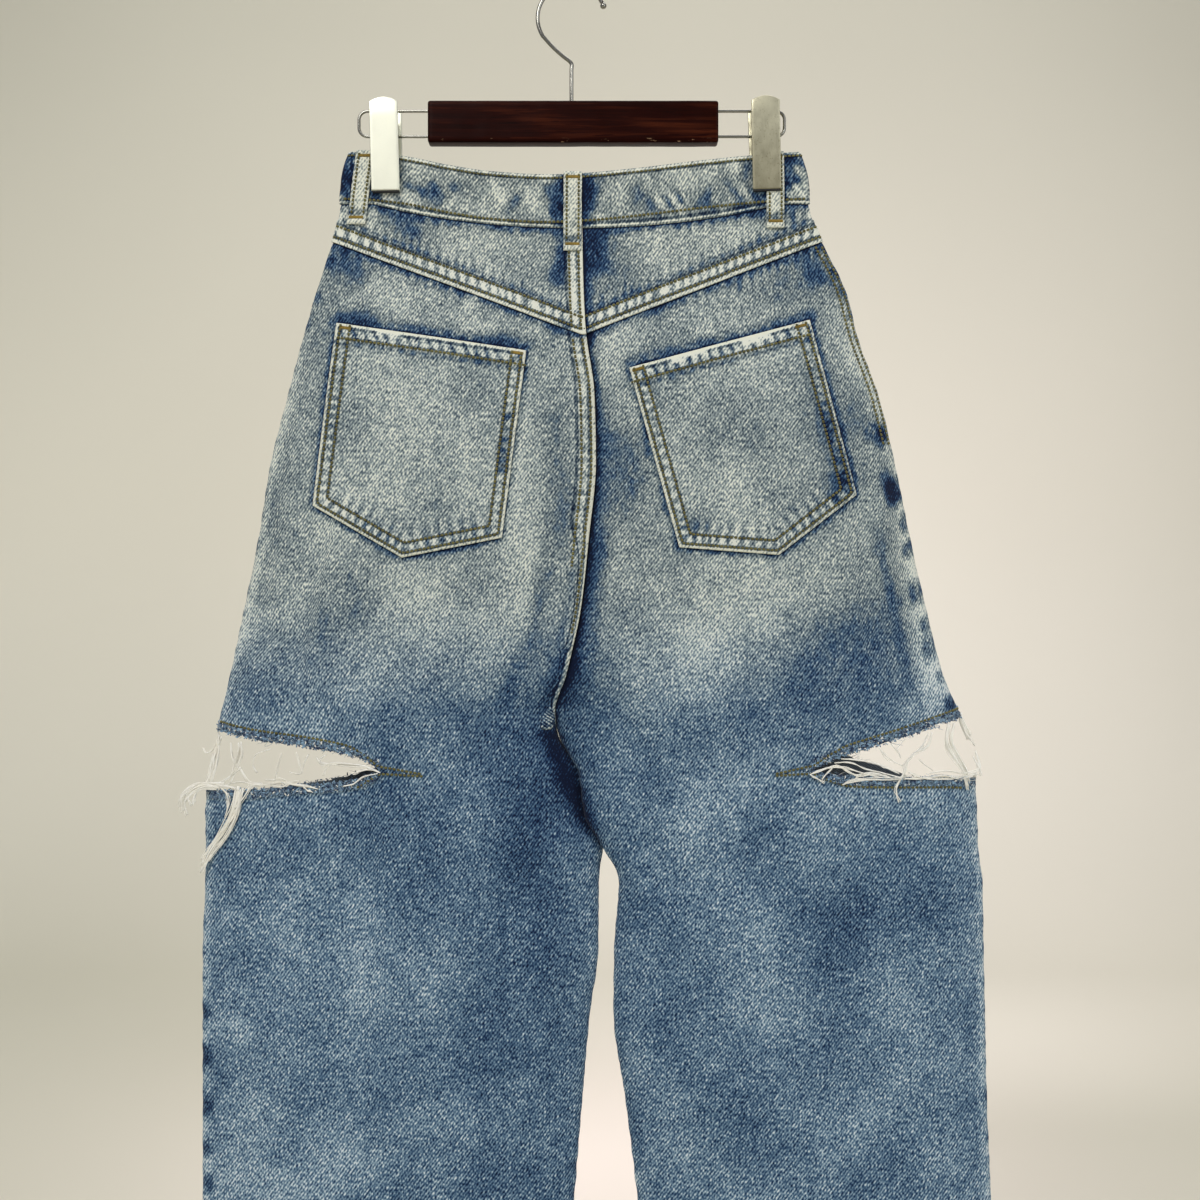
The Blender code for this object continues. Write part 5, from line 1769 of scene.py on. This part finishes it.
def add_curls(face, half, edge_is_upper, dice, pale, blue):
    """Small curled ends of yarn that cover the raw band along one edge of a slit."""
    upper, gape = slit_edges(half, face)
    outer, end = outer_inner(half, -575)[0], SLIT_END[half, face]
    count = int(abs(end - outer) * (4.5 if face == "back" else 2))
    x = dice.uniform(min(outer, end), max(outer, end), count)
    away = dice.uniform(-0.9, SLIT_BAND - 1.0, count)
    height = upper(x) + away if edge_is_upper else upper(x) - gape(x) - away
    for place in on_face(face, x, height, dice.uniform(0.2, 0.9, count)):
        heading = dice.uniform(0, 2 * pi)
        along = np.array([cos(heading), 0, sin(heading)])
        rising = np.array([-0.5 * sin(heading), 0.8 * OUTWARD[face], 0.5 * cos(heading)])
        radius = dice.uniform(0.5, 1.0)
        route = [place + radius * (along * (1 - cos(a)) + rising * sin(a))
                 for a in np.linspace(0, dice.uniform(2.2, 4.2), 5)]
        target = pale if dice.random() < 0.05 else blue
        target.add(route, dice.uniform(0.38, 0.56), 5, 0.7)


def slit_fuzz():
    """Short broken yarns all along the raw edges: undyed weft and blue warp."""
    pale = Yarns("slit_fray_pale", WHITE_YARN)
    blue = Yarns("slit_fray_blue", BLUE_YARN)
    dice = np.random.default_rng(11)
    for half, face in SLITS:
        upper, gape = slit_edges(half, face)
        for edge_is_upper in (True, False):
            way = -1 if edge_is_upper else 1
            x = float(outer_inner(half, -575)[0])
            while (x - SLIT_END[half, face]) * INWARD[half] < 0:
                x += 0.8 * INWARD[half] * dice.uniform(0.6, 1.4)
                z = float(upper(x)) - (0 if edge_is_upper else float(gape(x)))
                start = on_face(face, x, z - way * dice.uniform(0.2, 4.6), dice.uniform(-0.6, 0.9))
                long = dice.uniform(1.2, 4.2) if dice.random() < 0.86 else dice.uniform(4.0, 8.0)
                lean = dice.normal(0, 0.55)
                out = dice.normal(0.25, 0.5)
                curl = dice.normal(0, 0.8)
                t = np.linspace(0, 1, 5)
                off = OUTWARD[face] * out * t * (1 - 0.4 * t)
                route = start + long * np.stack([lean * t + curl * t * t, off, way * t * (1 - 0.35 * t)], 1)
                target = blue if dice.random() < 0.84 else pale
                target.add(route, dice.uniform(0.16, 0.26), 3, 0.4)
            add_curls(face, half, edge_is_upper, dice, pale, blue)
    pale.finish_piece()
    blue.finish_piece()


# ---------------------------------------------------------------- the hanger

WIRE = 1.5
HOOK_RADIUS = 25.5
HOOK_CENTRE = (0.8, -24.0)
HOOK_SHOULDER = (-13.5, -45.6)
HOOK_KINK = (0.4, -57.8)
HOOK_TIP_ANGLE = 27
HOOK_BOW_END = 212
HOOK_TIP_RADIUS = 2.4
BAR_ENDS = (-106.5, 110.5)
BAR_TOP = -87.8
BAR_THICK = 14.0
BAR_BEVEL = 2.2
ROD = 1.2
ROD_HEIGHTS = (-94.0, -113.0)
ROD_REACH = {"L": -158.6, "R": 160.4}
ROD_CORNER = 6.5
PLATE_HALF_WIDTH = 10.6
PLATE_HEIGHT = 68.0
PLATE_CROWN = 3.4
PLATE_THICK = 1.8
PLATE_FOOT_OUT = 7.2
PLATE_HEAD_OUT = 12.5
LUG_OUTER = 8.2
LUG_INNER = 6.4
LUG_FROM, LUG_TO = 46.0, 54.0
LUG_END = 0.4
LIP = 1.2               # height of the turned-in foot of a plate
PAD_FROM, PAD_TO = 1.5, 20.0
PAD_INNER = 5.0
# The black strip under each plate's foot, which stands in for the shade there, is this tall.
SHADE_HEEL = 1.3
SPRING_RADIUS = 3.6
SPRING_WIRE = 0.6
SPRING_TURNS = 8
PIN_RADIUS = 1.5


def freshly_added(name):
    """Name the primitive that was just added and put its place and size in its mesh."""
    piece = bpy.context.object
    piece.name = name
    piece.data.name = name
    bpy.ops.object.transform_apply(location=True, rotation=True, scale=True)
    return piece


def add_block(name, low, high):
    bpy.ops.object.select_all(action="DESELECT")
    middle = [(a + b) / 2 * MM for a, b in zip(low, high)]
    bpy.ops.mesh.primitive_cube_add(size=1, location=middle, scale=[(b - a) * MM for a, b in zip(low, high)])
    return freshly_added(name)


def cut(piece, axis, places):
    """Cut right across the piece at each place along an axis."""
    bpy.ops.object.mode_set(mode="EDIT")
    for place in places:
        bpy.ops.mesh.select_all(action="SELECT")
        point = [place * MM if i == axis else 0 for i in range(3)]
        bpy.ops.mesh.bisect(plane_co=point, plane_no=[float(i == axis) for i in range(3)])
    bpy.ops.object.mode_set(mode="OBJECT")


def pick_faces(piece, test):
    """Open the piece for shaping with only the faces selected that pass a test of middle and normal."""
    bpy.ops.object.mode_set(mode="EDIT")
    bpy.ops.mesh.select_mode(type="FACE")
    bpy.ops.mesh.select_all(action="DESELECT")
    bpy.ops.object.mode_set(mode="OBJECT")
    for polygon in piece.data.polygons:
        polygon.select = bool(test(polygon.center / MM, polygon.normal))
    bpy.ops.object.mode_set(mode="EDIT")


def push(x=0.0, y=0.0, z=0.0):
    """Extrude the selected faces by so many millimetres."""
    bpy.ops.mesh.extrude_region_move(TRANSFORM_OT_translate={"value": (x * MM, y * MM, z * MM)})


def soften(piece, width, segments=3, angle=32):
    """Round off the sharp edges."""
    edge = piece.modifiers.new("rounded edges", "BEVEL")
    edge.width = width * MM
    edge.segments = segments
    edge.limit_method = "ANGLE"
    edge.angle_limit = radians(angle)
    edge.harden_normals = False
    bpy.context.view_layer.objects.active = piece
    bpy.ops.object.modifier_apply(modifier=edge.name)
    piece.select_set(True)
    bpy.ops.object.shade_smooth_by_angle(angle=radians(38))


def finished(piece, slot, finish, *nodes):
    """Point the faces outwards, give the piece its finish and let it stand for its CAD nodes."""
    bpy.context.view_layer.objects.active = piece
    bpy.ops.object.mode_set(mode="EDIT")
    bpy.ops.mesh.select_all(action="SELECT")
    bpy.ops.mesh.normals_make_consistent(inside=False)
    bpy.ops.object.mode_set(mode="OBJECT")
    piece.data.materials.clear()
    piece.data.materials.append(finish)
    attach(piece, "root")
    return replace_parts(piece, *nodes) if nodes else piece


def bent_wire(name, route, radius, closed=False):
    """A round wire along a route of (across, out, height) points."""
    curve = bpy.data.curves.new(name, "CURVE")
    curve.dimensions = "3D"
    curve.bevel_depth = radius * MM
    curve.bevel_resolution = 4
    curve.use_fill_caps = not closed
    spline = curve.splines.new("POLY")
    spline.points.add(len(route) - 1)
    for point, place in zip(spline.points, route):
        point.co = (*(v * MM for v in place), 1)
    spline.use_cyclic_u = closed
    piece = bpy.data.objects.new(name, curve)
    bpy.context.scene.collection.objects.link(piece)
    bpy.ops.object.select_all(action="DESELECT")
    bpy.context.view_layer.objects.active = piece
    piece.select_set(True)
    bpy.ops.object.convert(target="MESH")
    piece = bpy.context.object
    piece.data.name = name
    piece.data.shade_smooth()
    return piece


def arc(centre, radius, start, end, count):
    """Points round a circle in the XZ plane, with angles in degrees from +X towards +Z."""
    return [(centre[0] + radius * cos(a), 0.0, centre[1] + radius * sin(a))
            for a in np.linspace(radians(start), radians(end), count + 1)]


def join(parts):
    bpy.ops.object.select_all(action="DESELECT")
    for part in parts:
        part.select_set(True)
    bpy.context.view_layer.objects.active = parts[0]
    bpy.ops.object.join()
    return bpy.context.object


def build_hook():
    bow = arc(HOOK_CENTRE, HOOK_RADIUS, HOOK_TIP_ANGLE, HOOK_BOW_END, 56)
    stem = HOOK_KINK[0] + 0.3
    neck = [HOOK_SHOULDER, (-6.0, -52.4), HOOK_KINK, (stem, -63.5), (stem, -76), (stem, BAR_TOP - 3)]
    run = [bow[-1]] + [(x, 0, z) for x, z in neck]
    hook = bent_wire("hook_wire", bow[:-1] + smooth_route(run, 6).tolist(), WIRE)
    finished(hook, "bright_nickel", NICKEL_WIRE, "hook")
    tip = HOOK_TIP_ANGLE - np.degrees((HOOK_TIP_RADIUS + SEAM) / HOOK_RADIUS)
    place = arc(HOOK_CENTRE, HOOK_RADIUS, tip, tip, 0)[0]
    bpy.ops.object.select_all(action="DESELECT")
    bpy.ops.mesh.primitive_uv_sphere_add(segments=28, ring_count=18, radius=HOOK_TIP_RADIUS * MM,
                                         location=[v * MM for v in place])
    ball = freshly_added("hook_ball")
    pick_faces(ball, lambda middle, normal: middle.z > place[2] + 0.88 * HOOK_TIP_RADIUS)
    push(z=0.5)
    bpy.ops.object.mode_set(mode="OBJECT")
    ball.data.shade_smooth()
    finished(ball, "bright_nickel", NICKEL_WIRE, "hook_tip")


def build_bar():
    """A planed bar with eased edges, a little worn and uneven all along."""
    bar = add_block("wooden_bar", (BAR_ENDS[0], -BAR_THICK / 2, BAR_FOOT),
                    (BAR_ENDS[1], BAR_THICK / 2, BAR_TOP))
    cut(bar, 0, np.linspace(BAR_ENDS[0], BAR_ENDS[1], 50)[1:-1])
    cut(bar, 2, np.linspace(BAR_FOOT, BAR_TOP, 8)[1:-1])
    for vert in bar.data.vertices:
        x, y, z = vert.co / MM
        vert.co.y += 0.16 * float(patchy(x, z + 3 * y, 9, 121)) * MM * (1 if y > 0 else -1) * (abs(y) > 1)
        vert.co.z += 0.12 * float(wobble(x, 13.0, 122)) * MM * (z < BAR_FOOT + 1)
    soften(bar, BAR_BEVEL - 0.3, 4, 60)
    finished(bar, "varnished_wood", VARNISHED_WOOD, "hanger_bar")


def build_rods():
    """On each side one wire leaves the bar, turns round in two easy corners and comes back."""
    for half, bar_end, outward in (("L", BAR_ENDS[0], -1), ("R", BAR_ENDS[1], 1)):
        inside_bar = bar_end - outward * 3
        middle = ROD_REACH[half] - outward * ROD_CORNER
        side = 90 - outward * 90
        upper = arc((middle, ROD_HEIGHTS[0] - ROD_CORNER), ROD_CORNER, 90, side, 10)
        lower = arc((middle, ROD_HEIGHTS[1] + ROD_CORNER), ROD_CORNER, side, side - outward * 90, 10)
        route = [(inside_bar, 0, ROD_HEIGHTS[0])] + upper + lower + [(inside_bar, 0, ROD_HEIGHTS[1])]
        rod = bent_wire(f"sliding_rod_{half}", route, ROD)
        finished(rod, "bright_nickel", NICKEL_WIRE, f"hanger_rod_{half}")


def plate_out(rise):
    return mix(PLATE_FOOT_OUT, PLATE_HEAD_OUT, rise / PLATE_HEIGHT)


def set_on_clip(piece, clip, sign=0):
    """Lean a part outwards with its plate, then tilt it as the clip hangs and bring it to its place.
    With a sign its y is measured outwards from the plate's inner face."""
    lean = radians(clip.turn)
    for vert in piece.data.vertices:
        x, y, z = vert.co / MM
        if sign:
            y = sign * (plate_out(z) + y)
        over = z - PLATE_HEIGHT / 2
        vert.co = Vector((x * cos(lean) - over * sin(lean) + clip.across, y,
                          x * sin(lean) + over * cos(lean) + PLATE_HEIGHT / 2 + clip.foot)) * MM
    return piece


def build_plate(half, clip, face, sign, finish, slot):
    """A pressed plate with a crowned head, a turned-in foot and two lugs that reach in to the spring."""
    plate = add_block(f"pressed_plate_{face}_{half}", (-PLATE_HALF_WIDTH, 0, 0),
                      (PLATE_HALF_WIDTH, PLATE_THICK, PLATE_HEIGHT - PLATE_CROWN))
    cut(plate, 0, (-LUG_OUTER, -LUG_INNER, -4.3, -2.1, 0, 2.1, 4.3, LUG_INNER, LUG_OUTER))
    cut(plate, 2, (LIP, LUG_FROM, LUG_TO))
    for vert in plate.data.vertices:
        if vert.co.z > (PLATE_HEIGHT - PLATE_CROWN - 0.1) * MM:
            share = vert.co.x / MM / PLATE_HALF_WIDTH
            vert.co.z += PLATE_CROWN * (1 - share ** 2) * MM
    pick_faces(plate, lambda middle, normal: normal.y < -0.9 and middle.z < LIP)
    push(y=-(PLATE_FOOT_OUT - PAD_INNER))
    pick_faces(plate, lambda middle, normal: normal.y < -0.9 and LUG_FROM < middle.z < LUG_TO
               and LUG_INNER < abs(middle.x) < LUG_OUTER)
    push(y=-(plate_out((LUG_FROM + LUG_TO) / 2) - LUG_END))
    bpy.ops.object.mode_set(mode="OBJECT")
    soften(plate, 0.55, 3)
    set_on_clip(plate, clip, sign)
    finished(plate, slot, finish, f"clip_plate_{face}_{half}")


def build_pad(half, clip, face, sign):
    """The ribbed lip that presses on the waistband."""
    pad = add_block(f"clip_lip_{face}_{half}", (clip.pad_from, -(PLATE_FOOT_OUT - PAD_INNER), PAD_FROM),
                    (clip.pad_to, -0.2, PAD_TO))
    cut(pad, 2, np.linspace(PAD_FROM, PAD_TO, 12)[1:-1])
    for vert in pad.data.vertices:
        z = vert.co.z / MM
        if vert.co.y < -1 * MM:
            rib = round((z - PAD_FROM) / (PAD_TO - PAD_FROM) * 11)
            vert.co.y = (PAD_INNER - plate_out(z) + (0.5 if rib % 2 else 0.0)) * MM
    soften(pad, 0.25, 2, 50)
    set_on_clip(pad, clip, sign)
    finished(pad, "black_vinyl", VINYL, f"clip_pad_{face}_{half}")


def build_shade_heel(half, clip, face, sign):
    """A black strip that shows under the plate's foot: the lip's rolled edge, and a dark piece that stands in
    for the shade under the turned-in foot.
    """
    reach = PLATE_HALF_WIDTH - 0.5
    shade_heel = add_block(f"clip_heel_{face}_{half}", (-reach, -(PLATE_FOOT_OUT - PAD_INNER), -SHADE_HEEL),
                     (reach, PLATE_THICK - 0.5, 0.3))
    cut(shade_heel, 0, np.linspace(-PLATE_HALF_WIDTH, PLATE_HALF_WIDTH, 8)[1:-1])
    soften(shade_heel, 0.45, 3, 50)
    set_on_clip(shade_heel, clip, sign)
    finished(shade_heel, "black_vinyl", VINYL)


def build_spring(half, clip, finish, slot):
    """A coil of wire round a pin between the lugs, with a leg up each plate."""
    coil = SPRING_RADIUS - SPRING_WIRE
    centre = (LUG_FROM + LUG_TO) / 2
    reach = LUG_INNER - SEAM - SPRING_WIRE
    route = [(-reach, -7.5, centre + 10)]
    for turned in np.linspace(0, 1, SPRING_TURNS * 18 + 1):
        angle = 2 * pi * SPRING_TURNS * turned
        route.append((mix(-reach, reach, turned), -coil * cos(angle), centre + coil * sin(angle)))
    route.append((reach, -7.5, centre + 11))
    wire = bent_wire(f"spring_coil_{half}", route, SPRING_WIRE)
    bpy.ops.object.select_all(action="DESELECT")
    bpy.ops.mesh.primitive_cylinder_add(vertices=24, radius=PIN_RADIUS * MM, depth=2 * (LUG_OUTER + 1.3) * MM,
                                        location=(0, 0, centre * MM), rotation=(0, pi / 2, 0))
    pin = freshly_added(f"spring_pin_{half}")
    pick_faces(pin, lambda middle, normal: abs(normal.x) > 0.9)
    bpy.ops.mesh.inset(thickness=0.5 * MM, use_individual=True)
    bpy.ops.object.mode_set(mode="OBJECT")
    soften(pin, 0.35, 2, 40)
    spring = join([wire, pin])
    spring.name = f"torsion_spring_{half}"
    set_on_clip(spring, clip)
    finished(spring, slot, finish, f"clip_spring_{half}")


def build_hanger():
    build_hook()
    build_bar()
    build_rods()
    for half, clip in CLIPS.items():
        finish, slot = (SATIN_NICKEL, "bright_nickel") if half == "L" else (BRUSHED_NICKEL, "brushed_nickel")
        for face, sign in (("front", -1), ("rear", 1)):
            build_plate(half, clip, face, sign, finish, slot)
            build_pad(half, clip, face, sign)
            build_shade_heel(half, clip, face, sign)
        build_spring(half, clip, finish, slot)


# ---------------------------------------------------------------- the fly

FLY_STEP = 2.3
ZIP_HALF_WIDTH = 13
SHIELD_REACH = (-36.4, 6.5)
BUTTON_RADIUS = 8.5
BUTTON_HEIGHT = 3.5
BUTTON_FROM_CENTRE = 13


FLY_TOP = float(waist_foot("front")(WAIST_MIDDLE)) - SEAM
FLY_MIDDLE = float(level_at(FLY_TOP, "left_in"))


def fly_grid(low, high, cell):
    xs = FLY_MIDDLE + np.linspace(low, high, int((high - low) / cell) + 1)
    zs = np.linspace(FLY_TOP, FLY_TOP - FLY_LENGTH, int(FLY_LENGTH / cell) + 1)
    return np.meshgrid(xs, zs)


def build_fly():
    """The closed zip on its tape, the shield behind it, and the button that shuts the waist."""
    x, z = fly_grid(*SHIELD_REACH, 3.0)
    grid = on_face("front", x, z, -2 * FLY_STEP)
    shield = sewn_sheet("fly_shield_cloth", None, grid, facing_out("front", grid),
                        marks_of(0.36, 0.2, rim=z - z.min()), np.stack([x, z], -1), CLOTH)
    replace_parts(shield, "fly_shield")

    x, z = fly_grid(-ZIP_HALF_WIDTH, ZIP_HALF_WIDTH, 2.0)
    grid = on_face("front", x, z, -FLY_STEP - 0.4)
    points = grid.reshape(-1, 3)
    ids = np.arange(len(points)).reshape(x.shape)
    faces = grid_faces(ids.tolist(), True)
    tape = shape("zip_tape_cloth", points, faces, "zip_tape", [ZIP_TAPE],
                 cloth_map=np.stack([x, z], -1).reshape(-1, 2) * MM)
    thicken(tape, 0.6)
    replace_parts(tape, "fly_zip")
    points, faces = [], []
    for number, height in enumerate(np.arange(FLY_TOP - 3, FLY_TOP - FLY_LENGTH + 4, -1.45)):
        side = 1 if number % 2 else -1
        base = on_face("front", FLY_MIDDLE + side * 0.9, height, -FLY_STEP - 1.0)
        start = len(points)
        for across, up in ((-1.7, -0.45), (1.7, -0.45), (1.7, 0.45), (-1.7, 0.45)):
            points += [base + np.array([across, out, up]) for out in (-0.6, 0.6)]
        ring = [start + 2 * i for i in range(4)]
        faces += closed_tube([ring, [i + 1 for i in ring]])
    points = np.array(points)
    teeth = shape("zip_teeth", points, [f[::-1] for f in faces], "button_metal", [BRASS], smooth=False)
    finished(teeth, "button_metal", BRASS)

    place = (FLY_MIDDLE - BUTTON_FROM_CENTRE, FLY_TOP + BAND_WIDTH / 2)
    seat = on_face("front", *place, BAND_OUTER + 0.2)
    normal = Vector(on_face("front", *place, 10) - seat).normalized()
    bpy.ops.object.select_all(action="DESELECT")
    bpy.ops.mesh.primitive_cylinder_add(vertices=48, radius=BUTTON_RADIUS * MM, depth=BUTTON_HEIGHT * MM,
                                        location=(0, 0, BUTTON_HEIGHT / 2 * MM))
    button = freshly_added("tack_button")
    for inset, step in ((1.3, -0.55), (1.6, 0.0), (0.6, 0.35)):
        pick_faces(button, lambda middle, facing: facing.z > 0.9 and middle.xy.length < 0.5)
        bpy.ops.mesh.inset(thickness=inset * MM)
        bpy.ops.transform.translate(value=(0, 0, step * MM))
    bpy.ops.object.mode_set(mode="OBJECT")
    soften(button, 0.5, 3, 30)
    turn = normal.to_track_quat("Z", "Y").to_matrix()
    for vert in button.data.vertices:
        vert.co = turn @ vert.co + Vector(seat) * MM
    finished(button, "button_metal", BRASS, "waist_button")


# ---------------------------------------------------------------- light, floor and camera


# The stage, in metres.
FLOOR_BELOW = 0.12      # how far the floor is below the hems
FLOOR_FROM = -6.0
SWEEP_FROM = 2.4
SWEEP = 1.2             # radius of the bend between floor and wall
WALL_TOP = 5.0
STAGE_REACH = 7.0


def build_stage():
    """A floor that sweeps up into a wall."""
    level = cad_low.z - FLOOR_BELOW
    rows = [(FLOOR_FROM, level), (SWEEP_FROM, level)]
    rows += [(SWEEP_FROM + SWEEP * sin(a), level + SWEEP - SWEEP * cos(a))
             for a in np.linspace(0, pi / 2, 14)[1:]]
    rows += [(SWEEP_FROM + SWEEP, WALL_TOP)]
    bpy.ops.mesh.primitive_plane_add(size=1)
    floor = bpy.context.object
    floor.name = "studio_sweep"
    mesh = floor.data
    mesh.clear_geometry()
    mesh.from_pydata([(x, y, z) for y, z in rows for x in (-STAGE_REACH, STAGE_REACH)], [],
                     [(2 * i, 2 * i + 1, 2 * i + 3, 2 * i + 2) for i in range(len(rows) - 1)])
    mesh.shade_smooth()
    f = Finish("pale_sweep", Roughness=0.9)
    patches = f.noise(f.node("TexCoord", out="Object"), 0.7, 1.0)
    f.set("Base Color", f.ramp(patches, [(0.3, (0.67, 0.65, 0.53)), (0.7, (0.71, 0.69, 0.565))]))
    mesh.materials.append(f.material)


def area_light(name, place, target, size, power, colour, spread=180):
    lamp = bpy.data.lights.new(name, "AREA")
    lamp.shape = "RECTANGLE"
    lamp.size, lamp.size_y = size
    lamp.energy = power
    lamp.color = colour
    lamp.spread = radians(spread)
    obj = bpy.data.objects.new(name, lamp)
    obj.location = place
    obj.rotation_euler = (Vector(target) - Vector(place)).to_track_quat("-Z", "Y").to_euler()
    obj.visible_camera = False
    bpy.context.scene.collection.objects.link(obj)


def build_lights():
    world = bpy.data.worlds.new("studio")
    world.use_nodes = True
    world.node_tree.nodes["Background"].inputs["Color"].default_value = (0.93, 0.94, 1.0, 1)
    world.node_tree.nodes["Background"].inputs["Strength"].default_value = 0.36
    bpy.context.scene.world = world
    area_light("key", (-0.9, -2.1, 1.3), (0, 0, -0.5), (1.2, 1.2), 39, (1.0, 0.985, 0.965))
    area_light("fill", (1.8, -1.8, 0.2), (0, 0, -0.6), (1.4, 1.8), 14, (0.95, 0.975, 1.0))
    area_light("top", (0.1, 0.7, 1.9), (0, 0.2, -0.4), (2.2, 1.6), 20, (1.0, 0.99, 0.97))
    area_light("wall", (0.0, 1.2, 2.4), (0, 3.4, 0.2), (3.0, 1.0), 28, (1.0, 0.985, 0.965))
    area_light("glow", (0.7, 0.9, -0.35), (0.7, 3.6, -0.4), (1.1, 0.8), 14, (0.93, 0.84, 1.0), 110)
    area_light("glow_left", (-2.1, 1.2, -0.3), (-2.1, 3.6, -0.3), (0.7, 0.7), 2.8, (1.0, 0.95, 1.0), 90)
    area_light("gleam", (0.05, 1.15, -0.6), (0.05, 1.35, -1.325), (0.6, 0.5), 2.9, (1.0, 0.80, 1.0), 150)
    bpy.context.scene.view_settings.view_transform = "Standard"


CAMERA_PLACE = (0.0221, -1.15, -0.4605)
PICTURE_WIDTH = 0.9     # how much of the object's plane the picture takes in


def build_camera():
    lens = bpy.data.cameras.new("camera")
    lens.sensor_width = 36
    lens.lens = lens.sensor_width * -CAMERA_PLACE[1] / PICTURE_WIDTH
    camera = bpy.data.objects.new("camera", lens)
    camera.location = CAMERA_PLACE
    camera.rotation_euler = (pi / 2, 0, 0)
    bpy.context.scene.collection.objects.link(camera)
    bpy.context.scene.camera = camera


# ---------------------------------------------------------------- the flat cuts

# The flat cut of what shows of each cloth piece, in metres: its width, length and area, how it is held,
# what it hangs from or lies on, and which pieces lie on it.
Cut = namedtuple("Cut", "piece width length area held rests_on wearing")
FRAY = ["loose_weft_threads", "slit_fray_pale", "slit_fray_blue"]
KNOB = ["fork_seam_end"]
FRONT_ROWS = ["leg_stitching", "front_stitching"]
CUTS = [
    Cut("back_leg_L", 0.310, 1.020, 0.267, "hung", ["yoke_panel_L"], ["leg_stitching"] + KNOB + FRAY),
    Cut("back_leg_R", 0.320, 1.020, 0.261, "hung", ["yoke_panel_R"], ["leg_stitching"] + FRAY),
    Cut("front_leg_L", 0.310, 1.030, 0.267, "hung", ["waistband_strip_L"], FRONT_ROWS),
    Cut("front_leg_R", 0.320, 1.030, 0.262, "hung", ["waistband_strip_R"], FRONT_ROWS),
    Cut("fly_shield_cloth", 0.043, 0.112, 0.0048, "hung", ["waistband_strip_L"], []),
    Cut("zip_tape_cloth", 0.026, 0.112, 0.0029, "hung", ["waistband_strip_L"], ["zip_teeth"]),
]
for half in "LR":
    band = f"waistband_strip_{half}"
    pressed = [f"pressed_plate_front_{half}", f"pressed_plate_rear_{half}"]
    CUTS += [
        Cut(f"yoke_panel_{half}", 0.200, 0.095, 0.011, "hung", [band], ["yoke_stitching"]),
        Cut(f"pocket_facing_{half}", 0.135, 0.092, 0.0087, "hung", [band], []),
        Cut(f"back_pocket_patch_{half}", 0.150, 0.165, 0.021, "laid", [f"back_leg_{half}"],
            [f"pocket_stitching_{half}", "bartacks"]),
        Cut(band, 0.370, 0.040, 0.0148, "hung", pressed, ["waistband_stitching"]),
    ]
for loop in BELT_LOOPS:
    band = f"waistband_strip_{'L' if loop.top < 0 else 'R'}"
    CUTS.append(Cut(f"{loop.name}_strap", LOOP_WIDTH * MM, 0.058, None, "laid", [band],
                    ["belt_loop_stitching"]))


# ---------------------------------------------------------------- all of it

bpy.ops.object.select_all(action="DESELECT")
for half in "LR":
    for face in ("back", "front"):
        leg_panel(half, face)
    yoke(half)
    pocket_facing(half)
    waistband(half)
    back_pocket(half)
Sewing.learn()
sew_waist()
sew_yokes()
sew_legs()
sew_front()
sew_pockets()
for loop in BELT_LOOPS:
    belt_loop(loop)
Sewing.learn()
sew_tacks()
seam_end()
long_threads()
slit_fuzz()
build_fly()
build_hanger()
build_stage()
build_lights()
build_camera()
